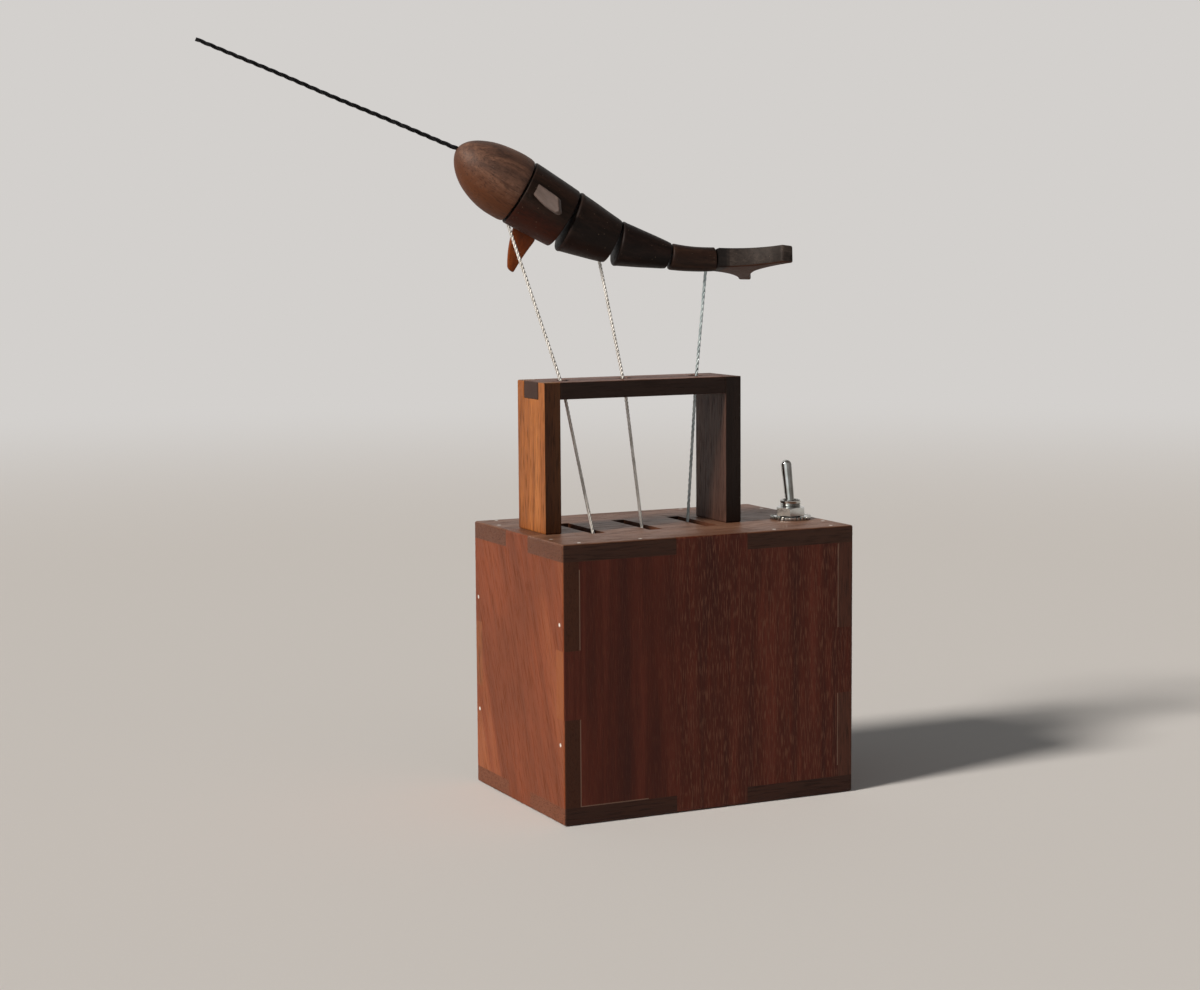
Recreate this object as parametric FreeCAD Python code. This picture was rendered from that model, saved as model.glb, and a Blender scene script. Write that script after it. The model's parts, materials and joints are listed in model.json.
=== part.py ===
"""Walnut automaton: a jointed narwhal swims on three wires above a motor driven crank box.

Millimetres. The origin is the middle of the case's footprint on the table, +X runs along the
front to the right, +Y goes to the back and +Z is up. The narwhal's nose points to -X.
"""
import FreeCAD, Part
import math
import os

os.makedirs("parts", exist_ok=True)
V = FreeCAD.Vector

# case: six panels with one finger joint in the middle of each edge
case_width = 91.0
case_depth = 61.3
case_height = 77.0
panel = 4.8
finger_share = 0.245            # finger length as a share of the edge it sits on
edge_easing = 0.6

# wire slots in the top panel
slot_width = 4.2
slot_length = 25.0

# pins that hold the panels
pin_diameter = 1.1
pin_length = 8.0
pin_corner_inset = 6.0          # from the corner to the outer pin along the front and back
pin_middle_offset = 21.0        # from the middle to the inner pin along the front and back
pin_side_offset = 18.0          # from the middle to each pin along the sides of top and bottom
pin_rise = 16.5                 # from mid height to each pin on the left and right faces

# bridge over the slots
bridge_stock = 4.8
bridge_depth = 18.4
bridge_left_inset = 4.8         # from the case's left face to the outer face of the left post
bridge_right_inset = 24.6
bridge_rise = 42.1              # top of the bar above the case
bar_tenon = 9.6
stub_tenon_thickness = 2.4
stub_tenon_depth = 12.0
stub_tenon_length = 3.0
guide_hole_diameter = 4.0
guide_shares = (0.161, 0.472, 0.842)      # along the bridge, from its left end to its right

# wires
wire_diameter = 1.1
wire_bend_radius = 8.0
socket_diameter = 2.0           # hole in the wood that a swinging wire end sits in
socket_depth = 2.2
wire_entry = 1.4                # how far each wire reaches into the wood
loop_clearance = 0.05
foot_clearance = 3.4            # from the circle the crank's loops sweep up to the wires' feet

# crankshaft, three throws
crank_throw = 19.5
cell_to_loop = 2.35             # least gap between a loop at the bottom and the cells
crank_rod_diameter = 2.0
crank_bend_radius = 2.4
throw_angles = (-72.0, -27.0, 18.0)       # from straight down, positive towards the back
loop_shares = (0.161, 0.609, 0.907)       # where the loops sit between first web and motor arm
running_clearance = 0.04

bearing_block_thickness = 8.0
bearing_block_size = 16.0
bush_diameter = 4.0
journal_end_gap = 0.5
collar_diameter = 6.0
collar_length = 2.4
collar_gap = 0.3
web_gap = 0.1                   # from the collar to the start of the first bend

# crank arm on the motor shaft
arm_thickness = 3.0
arm_hub_diameter = 8.0
arm_tip_diameter = 5.0
arm_motor_gap = 0.4
grub_diameter = 2.0

# gear motor
motor_shaft_diameter = 3.0
motor_shaft_flat = 1.0          # distance from the axis to the flat of the D
motor_width = 12.0
motor_flats = 10.0
gearbox_length = 9.0
gearbox_plate = 0.8
gearbox_groove = 2.4            # open gap between the two brass plates
gearbox_core = 9.6
motor_can_length = 14.2
motor_cap_length = 0.8
motor_tab = (1.1, 1.8, 0.5)     # length, width and thickness of each solder tab
motor_tab_offset = 3.4
motor_wall_gap = 0.7            # between the solder tabs and the case's right panel
pedestal_width = 28.0
pedestal_start = 3.6            # from the motor's face
pedestal_wall_gap = 3.4         # room for the leads behind the pedestal
pedestal_foot = 12.0            # length of its foot on the case's bottom
pedestal_rise = 3.0             # from the tray's top to the part that overhangs it
strap_length = 5.0
strap_wall = 1.2
strap_foot = 5.6
strap_screw_diameter = 2.0
strap_screw_head = 3.6
strap_screw_length = 7.0

# battery tray for two AAA cells
tray_height = 11.0
tray_wall = 1.2
tray_wall_gap = 1.7             # from the case's left panel
cell_room = 0.45                # between a cell and the tray's long wall
end_contact = 1.2               # length taken by the contacts at the cells' nubs
cell_diameter = 10.5
cell_length = 43.7
cell_nub_diameter = 3.6
cell_nub_length = 0.8
cell_spacing = 11.2
contact_plate = 0.5
contact_width = 8.0
cell_spring_length = 3.4
cell_spring_foot_diameter = 7.2
cell_spring_tip_diameter = 4.8
tray_tab = (1.6, 2.4, 0.5)
tray_screw_diameter = 2.2
tray_screw_length = 3.6

# toggle switch
switch_inset = 8.3              # from the case's right face to the switch's middle
switch_y = -9.5
switch_body = (6.8, 12.7, 9.6)
switch_bushing_diameter = 6.0
switch_bushing_rise = 5.8       # above the top panel
switch_bushing_chamfer = 0.4
switch_bore = 3.86
switch_mouth = 4.6
switch_hole_clearance = 0.1
lock_washer_diameter = 11.8
lock_washer_thickness = 1.2
lock_washer_teeth = 30
lock_washer_notch = 0.5
lock_washer_ring = 0.84         # diameter inside the teeth, as a share of the washer's
nut_across_flats = 8.0
nut_height = 2.4
lever_length = 14.0             # from the pivot to the tip
lever_tip_diameter = 3.15
lever_neck_diameter = 2.6
lever_ball_diameter = 3.7
lever_tail = (1.6, 3.0)         # diameter and length under the ball
lever_pivot_drop = 2.4          # from the bushing's rim down to the pivot
lever_lean = 11.5
terminal_pitch = 4.7
terminal_size = (2.0, 0.7, 4.2)

# narwhal: straight turned pieces, each with its own pitch (nose up, degrees)
swim_x = -16.7                  # a point on the narwhal's middle plane, seen from above
swim_y = 4.6
swim_yaw = 13.06                # the tail points this much to the front of +X
belly_u = -9.64                 # middle of the belly's front face along the body
belly_rise = 44.44              # middle of the belly's front face above the bridge
head_length = 21.0
chest_length = 15.2
belly_length = 14.7
haunch_length = 15.9
stock_length = 13.0
neck_radius = 9.5
waist_radius = 8.85
hip_radius = 6.4
tail_radius = 3.75
stock_end_radius = 3.35
head_pitch = 30.6
chest_pitch = 30.6
belly_pitch = 24.7
haunch_pitch = 14.0
stock_pitch = 10.2
stock_upturn = 12.2             # how much the tail stock curves up along its length
joint_gap = 0.6
hinge_depth = 2.2               # hinge line below the back's surface
strip_thickness = 0.4
strip_reach = 3.0               # into each of the two pieces
strip_width_share = 0.35        # half width, of the body's radius at the joint
strip_room = 0.95               # free height above and below the strip in the piece it bends into
piece_easing = 0.35

tusk_length = 76.6
tusk_root_diameter = 1.6
tusk_tip_diameter = 1.2
tusk_seat = 3.0                 # length inside the head
tusk_start = 1.5                # height of its root above the head's axis
tusk_pitch = 22.4

fluke_length = 14.6             # from the tail stock's end to the front corner of each tip
fluke_span = 29.2
fluke_tip_chord = 3.8
fluke_notch = 13.3
fluke_root_thickness = 5.8
fluke_tip_thickness = 4.9
fluke_overlap = 3.0             # drawn back into the stock, then trimmed to the joint face
fluke_tip_set = 0.6             # how much each tip's back corner is nearer the middle
fluke_bulge = 1.6               # curve of the trailing edge
fluke_root_half = 3.0
fluke_waist_half = 6.8          # half width of the fluke halfway to its tips
fluke_roll = -10.5             # the near lobe stands higher
fluke_yaw = 9.0
fluke_pitch = 6.0
fluke_easing = 0.7

near_flipper_width = 4.35
far_flipper_width = 6.8
near_shoulder = 0.7             # where the back edge turns in to the tip, along its length
far_shoulder = 0.33
flipper_flare = 0.46            # spread of the back edge up to the shoulder, by width
flipper_corner = 0.14           # rounding of tip and shoulder seen flat, by width
flipper_thickness = 1.7
flipper_easing = 0.5
# along the body, across it (negative is the near side) and up, from the belly's front face
near_root = (-9.8, -7.6, 9.4)
near_tip = (-5.4, -19.0, 2.1)
near_chord = (0.675, -0.054, 0.733)
far_root = (-9.7, 6.6, 0.2)
far_tip = (-13.7, 9.5, -14.7)
far_chord = (0.938, 0.071, -0.341)

# points where the wires meet the narwhal: distance behind the front face or hinge of that piece
front_wire_setback = 1.9
middle_wire_setback = 13.3
rear_wire_setback = 11.1

# leads between the battery, the switch and the motor
lead_diameter = 1.2
lead_bow = 3.4                  # straight run before a lead bends
lead_side_gap = 5.0             # how far the leads pass beside the pedestal


def box(x0, x1, y0, y1, z0, z1):
    return Part.makeBox(x1 - x0, y1 - y0, z1 - z0, V(x0, y0, z0))


def rod(start, end, diameter):
    along = end.sub(start)
    return Part.makeCylinder(diameter / 2, along.Length, start, along)


def unit(vector):
    return V(vector).normalize()


def fuse(shapes):
    return shapes[0].multiFuse(shapes[1:]).removeSplitter() if len(shapes) > 1 else shapes[0]


def rounded_path(points, radii):
    """Straight runs joined by tangent arcs, with one radius for each inner point."""
    edges = []
    here = points[0]
    for before, corner, after, radius in zip(points, points[1:], points[2:], radii):
        inward = unit(before.sub(corner))
        outward = unit(after.sub(corner))
        turn = math.pi - inward.getAngle(outward)
        cut = radius * math.tan(turn / 2)
        start = corner.add(inward * cut)
        end = corner.add(outward * cut)
        middle = unit(inward.add(outward))
        crest = corner.add(middle * (radius / math.cos(turn / 2) - radius))
        edges.append(Part.LineSegment(here, start).toShape())
        edges.append(Part.Arc(start, crest, end).toShape())
        here = end
    edges.append(Part.LineSegment(here, points[-1]).toShape())
    return Part.Wire(edges)


def tube_along(path, diameter):
    start = path.Edges[0].Vertexes[0].Point
    along = path.Edges[0].tangentAt(path.Edges[0].FirstParameter)
    ring = Part.Wire(Part.makeCircle(diameter / 2, start, along))
    return path.makePipeShell([ring], True, False)


def lead_radii(points):
    """Each arc as large as its two runs allow."""
    radii = []
    for before, corner, after in zip(points, points[1:], points[2:]):
        inward = before.sub(corner)
        outward = after.sub(corner)
        turn = math.pi - inward.getAngle(outward)
        radii.append(0.45 * min(inward.Length, outward.Length) / math.tan(turn / 2))
    return radii


nodes = {}
wire_names = ("front", "middle", "rear")


def keep(name, *shapes):
    nodes[name] = shapes[0] if len(shapes) == 1 else Part.makeCompound(list(shapes))


# ---- case -------------------------------------------------------------------------------
half_width = case_width / 2
half_depth = case_depth / 2
inner_x = half_width - panel
inner_y = half_depth - panel
inner_top = case_height - panel
finger_x = case_width * finger_share / 2        # half lengths of the fingers
finger_y = case_depth * finger_share / 2
finger_z = case_height * finger_share / 2
mid_height = case_height / 2
bridge_left = -half_width + bridge_left_inset
bridge_right = half_width - bridge_right_inset
bridge_top = case_height + bridge_rise
guide_z = bridge_top - bridge_stock / 2
guide_xs = [bridge_left + share * (bridge_right - bridge_left) for share in guide_shares]
switch_x = half_width - switch_inset
motor_face_x = inner_x - (gearbox_length + motor_can_length + motor_cap_length + motor_tab[0]
                          + motor_wall_gap)
loop_radius = (crank_rod_diameter + wire_diameter) / 2 + loop_clearance
loop_reach = loop_radius + wire_diameter / 2
crank_height = panel + tray_wall + cell_diameter + cell_to_loop + loop_reach + crank_throw


def eased_block():
    block = box(-half_width, half_width, -half_depth, half_depth, 0, case_height)
    return block.makeFillet(edge_easing, block.Edges)


def plate_panel(z0, z1):
    """Top or bottom panel: a full plate with a finger notch in the middle of each edge."""
    plate = box(-half_width, half_width, -half_depth, half_depth, z0, z1)
    for side in (-1, 1):
        outer, inner = side * half_depth, side * inner_y
        plate = plate.cut(box(-finger_x, finger_x, min(outer, inner), max(outer, inner), z0, z1))
        outer, inner = side * half_width, side * inner_x
        plate = plate.cut(box(min(outer, inner), max(outer, inner), -finger_y, finger_y, z0, z1))
    return plate


def front_panel(side):
    """Front or back panel: set between its neighbours, with a finger out of all four edges."""
    y0, y1 = sorted((side * half_depth, side * inner_y))
    core = box(-inner_x, inner_x, y0, y1, panel, inner_top)
    tall = box(-finger_x, finger_x, y0, y1, 0, case_height)
    wide = box(-half_width, half_width, y0, y1, mid_height - finger_z, mid_height + finger_z)
    return fuse([core, tall, wide])


def side_panel(side):
    """Left or right panel: full depth, fingers up and down, notches at front and back."""
    x0, x1 = sorted((side * half_width, side * inner_x))
    core = box(x0, x1, -half_depth, half_depth, panel, inner_top)
    tall = box(x0, x1, -finger_y, finger_y, 0, case_height)
    body = fuse([core, tall])
    for end in (-1, 1):
        y0, y1 = sorted((end * half_depth, end * inner_y))
        body = body.cut(box(x0, x1, y0, y1, mid_height - finger_z, mid_height + finger_z))
    return body


def panel_pins():
    """Headless pins, driven flush through the top, bottom and side panels."""
    pins = []
    row_y = half_depth - panel / 2
    row_x = half_width - panel / 2
    outer = half_width - pin_corner_inset
    for z, down in ((case_height, -1), (0, 1)):
        spots = [(x, y) for y in (-row_y, row_y)
                 for x in (-outer, -pin_middle_offset, pin_middle_offset, outer)]
        spots += [(x, y) for x in (-row_x, row_x) for y in (-pin_side_offset, pin_side_offset)]
        for x, y in spots:
            pins.append(rod(V(x, y, z), V(x, y, z + down * pin_length), pin_diameter))
    for side in (-1, 1):
        for y in (-row_y, row_y):
            for rise in (-pin_rise, pin_rise):
                outside = V(side * half_width, y, mid_height + rise)
                inside = V(side * (half_width - pin_length), y, mid_height + rise)
                pins.append(rod(outside, inside, pin_diameter))
    return pins


def stub_tenon(x_middle):
    half = stub_tenon_thickness / 2
    return box(x_middle - half, x_middle + half, -stub_tenon_depth / 2, stub_tenon_depth / 2,
               case_height - stub_tenon_length, case_height)


def on_throw(x, angle):
    """A point on a throw's axis. The angle is from straight down, positive towards the back."""
    turn = math.radians(angle)
    return V(x, crank_throw * math.sin(turn), crank_height - crank_throw * math.cos(turn))


arm_x0 = motor_face_x - arm_motor_gap - arm_thickness
arm_x1 = arm_x0 + arm_thickness
journal_end = -inner_x + journal_end_gap
block_face = -inner_x + bearing_block_thickness
web_start = block_face + collar_gap + collar_length + crank_bend_radius + web_gap


def through_slot(guide_x, pin):
    """Where the wire from its guide hole to its pin passes the middle of the top panel."""
    share = (guide_z - (inner_top + case_height) / 2) / (guide_z - pin.z)
    return guide_x + (pin.x - guide_x) * share


pins = [on_throw(web_start + share * (arm_x0 - web_start), angle)
        for share, angle in zip(loop_shares, throw_angles)]
slot_xs = [through_slot(x, pin) for x, pin in zip(guide_xs, pins)]
left_post_x = bridge_left + bridge_stock / 2
right_post_x = bridge_right - bridge_stock / 2


def build_case():
    block = eased_block()
    pins = panel_pins()
    panels = {
        "case_front": front_panel(-1),
        "case_back": front_panel(1),
        "case_left": side_panel(-1),
        "case_right": side_panel(1),
        "case_bottom": plate_panel(0, panel),
    }
    top = plate_panel(inner_top, case_height)
    for x in slot_xs:
        top = top.cut(box(x - slot_width / 2, x + slot_width / 2, -slot_length / 2,
                          slot_length / 2, inner_top, case_height))
    hole = switch_bushing_diameter + 2 * switch_hole_clearance
    top = top.cut(rod(V(switch_x, switch_y, inner_top), V(switch_x, switch_y, case_height), hole))
    for x in (left_post_x, right_post_x):
        top = top.cut(stub_tenon(x))
    panels["case_top"] = top
    screws = tray_screws()
    panels["case_bottom"] = panels["case_bottom"].cut(Part.makeCompound(screws))
    for name, shape in panels.items():
        keep(name, shape.common(block).cut(Part.makeCompound(pins)))
    keep("panel_pins", *pins)


def build_bridge():
    half = bridge_depth / 2
    bar_bottom = bridge_top - bridge_stock
    for name, x in (("bridge_post_left", left_post_x), ("bridge_post_right", right_post_x)):
        x0, x1 = x - bridge_stock / 2, x + bridge_stock / 2
        post = box(x0, x1, -half, half, case_height, bridge_top)
        notch = box(x0, x1, -bar_tenon / 2, bar_tenon / 2, bar_bottom, bridge_top)
        keep(name, fuse([post.cut(notch), stub_tenon(x)]))
    bar = fuse([
        box(bridge_left + bridge_stock, bridge_right - bridge_stock, -half, half,
            bar_bottom, bridge_top),
        box(bridge_left, bridge_right, -bar_tenon / 2, bar_tenon / 2, bar_bottom, bridge_top),
    ])
    for x in guide_xs:
        bar = bar.cut(rod(V(x, 0, bar_bottom), V(x, 0, bridge_top), guide_hole_diameter))
    keep("bridge_bar", bar)


# ---- crankshaft and its bearing ---------------------------------------------------------
def crank_rod():
    """One bent rod: journal, three throws a constant angle apart, and the end in the arm."""
    starts = [web_start] + [(a.x + b.x) / 2 for a, b in zip(pins, pins[1:])]
    points = [V(journal_end, 0, crank_height), V(web_start, 0, crank_height)]
    for start, end, angle in zip(starts, starts[1:] + [arm_x1], throw_angles):
        points += [on_throw(start, angle), on_throw(end, angle)]
    path = rounded_path(points, [crank_bend_radius] * (len(points) - 2))
    return tube_along(path, crank_rod_diameter)


def motor_shaft_solid(x0, x1, diameter, flat):
    """A D shaft along X. The flat looks away from the third throw."""
    solid = rod(V(x0, 0, crank_height), V(x1, 0, crank_height), diameter)
    size = diameter
    cutter = box(x0, x1, -size, size, crank_height + flat, crank_height + flat + size)
    cutter.rotate(V(0, 0, crank_height), V(1, 0, 0), throw_angles[2])
    return solid.cut(cutter)


def build_crank():
    rod_solid = crank_rod()
    keep("crankshaft", rod_solid)
    bush_bore = crank_rod_diameter + 2 * running_clearance
    block = box(-inner_x, block_face, -bearing_block_size / 2, bearing_block_size / 2,
                crank_height - bearing_block_size / 2, crank_height + bearing_block_size / 2)
    left, right = V(-inner_x, 0, crank_height), V(block_face, 0, crank_height)
    bush_outer = rod(left, right, bush_diameter)
    keep("bearing_block", block.cut(bush_outer))
    keep("bearing_bush", bush_outer.cut(rod(left, right, bush_bore)))
    collar_start = V(block_face + collar_gap, 0, crank_height)
    collar_end = collar_start.add(V(collar_length, 0, 0))
    collar = rod(collar_start, collar_end, collar_diameter)
    keep("thrust_collar", collar.cut(rod(collar_start, collar_end, crank_rod_diameter)))

    tip0, tip1 = on_throw(arm_x0, throw_angles[2]), on_throw(arm_x1, throw_angles[2])
    hub = rod(V(arm_x0, 0, crank_height), V(arm_x1, 0, crank_height), arm_hub_diameter)
    tip = rod(tip0, tip1, arm_tip_diameter)
    blade = box(arm_x0, arm_x1, -arm_tip_diameter / 2, arm_tip_diameter / 2,
                crank_height - crank_throw, crank_height)
    blade.rotate(V(0, 0, crank_height), V(1, 0, 0), throw_angles[2])
    arm = fuse([hub, tip, blade])
    arm = arm.cut(rod(tip0, tip1, crank_rod_diameter))
    arm = arm.cut(motor_shaft_solid(arm_x0, arm_x1, motor_shaft_diameter, motor_shaft_flat))
    lift = FreeCAD.Rotation(V(1, 0, 0), throw_angles[2]).multVec(V(0, 0, 1))
    middle = V((arm_x0 + arm_x1) / 2, 0, crank_height)
    grub = rod(middle.add(lift * motor_shaft_flat), middle.add(lift * arm_hub_diameter * 0.5),
               grub_diameter)
    keep("arm_grub_screw", grub)
    keep("crank_arm", arm.cut(grub))
    for name, pin in zip(wire_names, pins):
        keep("wire_loop_" + name, Part.makeTorus(loop_radius, wire_diameter / 2, pin, V(1, 0, 0)))


# ---- gear motor -------------------------------------------------------------------------
gearbox_end = motor_face_x + gearbox_length
can_end = gearbox_end + motor_can_length
cap_end = can_end + motor_cap_length
tray_left = -inner_x + tray_wall_gap
tray_right = (tray_left + 2 * tray_wall + contact_plate + cell_spring_length + cell_length
              + cell_nub_length + end_contact)
pedestal_top = crank_height - motor_flats / 2
motor_top = crank_height + motor_flats / 2
pedestal_x0 = motor_face_x + pedestal_start
pedestal_x1 = inner_x - pedestal_wall_gap
strap_x0 = (pedestal_x0 + pedestal_x1 - strap_length) / 2
strap_x1 = strap_x0 + strap_length


def motor_block(x0, x1, round_body):
    body = box(x0, x1, -motor_width / 2, motor_width / 2, pedestal_top, motor_top)
    if round_body:
        body = body.common(rod(V(x0, 0, crank_height), V(x1, 0, crank_height), motor_width))
    return body


def strap_screw_spots():
    y = motor_width / 2 + strap_wall + strap_foot / 2
    x = (strap_x0 + strap_x1) / 2
    return [V(x, -y, pedestal_top + strap_wall), V(x, y, pedestal_top + strap_wall)]


def pan_screw(seat, diameter, head, length):
    """A small pan head screw pointing down, with a driver slot."""
    tall = head * 0.4
    cap = Part.makeCylinder(head / 2, tall, seat)
    cap = cap.makeFillet(tall * 0.5, [cap.Edges[0]])
    groove = box(seat.x - head, seat.x + head, seat.y - head * 0.1, seat.y + head * 0.1,
                 seat.z + tall * 0.6, seat.z + tall)
    shank = rod(seat, seat.sub(V(0, 0, length)), diameter)
    return fuse([cap.cut(groove), shank])


def build_motor():
    shaft = motor_shaft_solid(arm_x0, arm_x1, motor_shaft_diameter, motor_shaft_flat)
    inner_end = motor_face_x + gearbox_plate
    neck = rod(V(arm_x1, 0, crank_height), V(inner_end, 0, crank_height), motor_shaft_diameter)
    keep("motor_shaft", fuse([shaft, neck]))
    gearbox = motor_block(motor_face_x, gearbox_end, False)
    groove = motor_block(inner_end, inner_end + gearbox_groove, False)
    groove = groove.cut(rod(V(inner_end, 0, crank_height),
                            V(inner_end + gearbox_groove, 0, crank_height), gearbox_core))
    gearbox = gearbox.cut(groove)
    boss_bore = motor_shaft_diameter + 2 * running_clearance
    gearbox = gearbox.cut(rod(V(motor_face_x, 0, crank_height), V(inner_end, 0, crank_height),
                              boss_bore))
    keep("motor_gearbox", gearbox)
    keep("motor_can", motor_block(gearbox_end, can_end, True))
    cap = motor_block(can_end, cap_end, True)
    tabs = []
    long, wide, thick = motor_tab
    for y in (-motor_tab_offset, motor_tab_offset):
        tabs.append(box(cap_end, cap_end + long, y - wide / 2, y + wide / 2,
                        crank_height - thick / 2, crank_height + thick / 2))
    keep("motor_cap", cap)
    keep("motor_tabs", *tabs)

    screws = [pan_screw(spot, strap_screw_diameter, strap_screw_head, strap_screw_length)
              for spot in strap_screw_spots()]
    screw_set = Part.makeCompound(screws)
    out = pedestal_width / 2
    pedestal = box(pedestal_x0, pedestal_x1, -out, out, panel, pedestal_top)
    pedestal = pedestal.cut(box(pedestal_x0, pedestal_x1 - pedestal_foot, -out, out,
                                panel, panel + tray_height + pedestal_rise))
    keep("motor_pedestal", pedestal.cut(screw_set))
    out_y = motor_width / 2 + strap_wall
    strap = fuse([
        box(strap_x0, strap_x1, -out_y, out_y, pedestal_top, motor_top + strap_wall),
        box(strap_x0, strap_x1, -out_y - strap_foot, out_y + strap_foot, pedestal_top,
            pedestal_top + strap_wall),
    ])
    strap = strap.cut(box(strap_x0, strap_x1, -motor_width / 2, motor_width / 2,
                          pedestal_top, motor_top))
    keep("motor_strap", strap.cut(screw_set))
    keep("strap_screws", *screws)


# ---- battery tray -----------------------------------------------------------------------
cell_axis_z = panel + tray_wall + cell_diameter / 2
cell_x0 = tray_left + tray_wall + contact_plate + cell_spring_length
cell_ys = (-cell_spacing / 2, cell_spacing / 2)


def tray_screws():
    screws = []
    for share in (0.2, 0.8):
        seat = V(tray_left + share * (tray_right - tray_left), 0, panel + tray_wall)
        screws.append(rod(seat, seat.sub(V(0, 0, tray_screw_length)), tray_screw_diameter))
    return screws


def build_battery():
    room = (cell_spacing + cell_diameter) / 2 + cell_room
    out = room + tray_wall
    inner_end = tray_right - tray_wall
    tray = box(tray_left, tray_right, -out, out, panel, panel + tray_height)
    tray = tray.cut(box(tray_left + tray_wall, inner_end, -room, room,
                        panel + tray_wall, panel + tray_height))
    tray = tray.cut(Part.makeCompound(tray_screws()))
    cells, contacts = [], []
    long, wide, thick = tray_tab
    half = contact_width / 2
    for y in cell_ys:
        start = V(cell_x0, y, cell_axis_z)
        end = V(cell_x0 + cell_length, y, cell_axis_z)
        body = Part.makeCylinder(cell_diameter / 2, cell_length, start, V(1, 0, 0))
        nub = rod(end, end.add(V(cell_nub_length, 0, 0)), cell_nub_diameter)
        cells.append(fuse([body, nub]))
        spring_x0 = tray_left + tray_wall
        plate0 = box(spring_x0, spring_x0 + contact_plate, y - half, y + half,
                     panel + tray_wall, panel + tray_height)
        spring = Part.makeCone(cell_spring_foot_diameter / 2, cell_spring_tip_diameter / 2,
                               cell_spring_length, V(spring_x0 + contact_plate, y, cell_axis_z),
                               V(1, 0, 0))
        contacts.append(fuse([plate0, spring]))
        plate1 = box(inner_end - end_contact, inner_end, y - half, y + half,
                     panel + tray_wall, panel + tray_height)
        tab = box(inner_end, tray_right + long, y - wide / 2, y + wide / 2,
                  cell_axis_z - thick / 2, cell_axis_z + thick / 2)
        contacts.append(fuse([plate1, tab]))
        tray = tray.cut(tab)
    keep("battery_tray", tray)
    keep("battery_cells", *cells)
    keep("battery_contacts", *contacts)
    keep("tray_screws", *tray_screws())


# ---- switch -----------------------------------------------------------------------------
bushing_top = case_height + switch_bushing_rise
lever_pivot = V(switch_x, switch_y, bushing_top - lever_pivot_drop)
switch_base_z = inner_top - switch_body[2]


def hexagon(across, z0, z1):
    corner = across / math.sqrt(3)
    points = [V(switch_x + corner * math.cos(math.radians(60 * k)),
                switch_y + corner * math.sin(math.radians(60 * k)), z0) for k in range(7)]
    return Part.Face(Part.makePolygon(points)).extrude(V(0, 0, z1 - z0))


def build_switch():
    wide, deep, _ = switch_body
    body = box(switch_x - wide / 2, switch_x + wide / 2, switch_y - deep / 2,
               switch_y + deep / 2, switch_base_z, inner_top)
    keep("switch_body", body)
    blade_x, blade_y, blade_z = terminal_size
    blades = []
    for step in (-1, 0, 1):
        y = switch_y + step * terminal_pitch
        blades.append(box(switch_x - blade_x / 2, switch_x + blade_x / 2, y - blade_y / 2,
                          y + blade_y / 2, switch_base_z - blade_z, switch_base_z))
    keep("switch_terminals", *blades)

    bottom = V(switch_x, switch_y, inner_top)
    rim = V(switch_x, switch_y, bushing_top)
    bushing = rod(bottom, rim, switch_bushing_diameter)
    top_rim = [e for e in bushing.Edges if min(v.Z for v in e.Vertexes) > bushing_top - 0.1]
    bushing = bushing.makeChamfer(switch_bushing_chamfer, top_rim)
    bore_bottom = V(switch_x, switch_y, lever_pivot.z - lever_ball_diameter / 2 - lever_tail[1])
    bushing = bushing.cut(rod(bore_bottom, rim, switch_bore))
    mouth = Part.makeCone(switch_bore / 2, switch_mouth / 2, lever_pivot_drop, lever_pivot)
    keep("switch_bushing", bushing.cut(mouth))

    hole = rod(V(switch_x, switch_y, case_height), rim, switch_bushing_diameter)
    washer_top = case_height + lock_washer_thickness
    washer = rod(V(switch_x, switch_y, case_height), V(switch_x, switch_y, washer_top),
                 lock_washer_diameter)
    for k in range(lock_washer_teeth):
        turn = math.radians(360.0 / lock_washer_teeth * (k + 0.5))
        notch = box(lock_washer_diameter * lock_washer_ring / 2, lock_washer_diameter,
                    -lock_washer_notch / 2, lock_washer_notch / 2, case_height, washer_top)
        notch.rotate(V(0, 0, 0), V(0, 0, 1), math.degrees(turn))
        notch.translate(V(switch_x, switch_y, 0))
        washer = washer.cut(notch)
    keep("switch_washer", washer.cut(hole))
    nut = hexagon(nut_across_flats, washer_top, washer_top + nut_height)
    chamfer = Part.makeCone(nut_across_flats * 0.5 + nut_height, nut_across_flats * 0.5,
                            nut_height, V(switch_x, switch_y, washer_top))
    keep("switch_nut", nut.common(chamfer).cut(hole))

    ball = Part.makeSphere(lever_ball_diameter / 2, lever_pivot)
    straight = lever_length - lever_tip_diameter / 2
    bat = Part.makeCone(lever_neck_diameter / 2, lever_tip_diameter / 2, straight, lever_pivot)
    tip = Part.makeSphere(lever_tip_diameter / 2, lever_pivot.add(V(0, 0, straight)))
    tail = rod(lever_pivot, lever_pivot.sub(V(0, 0, lever_ball_diameter / 2 + lever_tail[1] - 1)),
               lever_tail[0])
    lever = fuse([ball, bat, tip, tail])
    lever.rotate(lever_pivot, V(1, 0, 0), -lever_lean)
    keep("switch_lever", lever)


# ---- narwhal ----------------------------------------------------------------------------
yaw = math.radians(swim_yaw)
body_along = V(math.cos(yaw), -math.sin(yaw), 0)         # towards the tail
body_across = V(math.sin(yaw), math.cos(yaw), 0)         # towards the back


def body_point(u, v, z):
    """A point given along the body, across it and up, from the belly's front face."""
    middle = V(swim_x, swim_y, bridge_top + belly_rise).add(body_along * belly_u)
    return middle.add(body_direction(u, v, z))


def body_direction(u, v, z):
    return (body_along * u).add(body_across * v).add(V(0, 0, z))


def piece_placement(origin, pitch):
    """Local +X runs to the tail along the piece, local +Y across the body."""
    aim = FreeCAD.Rotation(V(0, 0, 1), -swim_yaw).multiply(FreeCAD.Rotation(V(0, 1, 0), pitch))
    return FreeCAD.Placement(origin, aim)


def to_world(place, x, y, z):
    return place.multVec(V(x, y, z))


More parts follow.
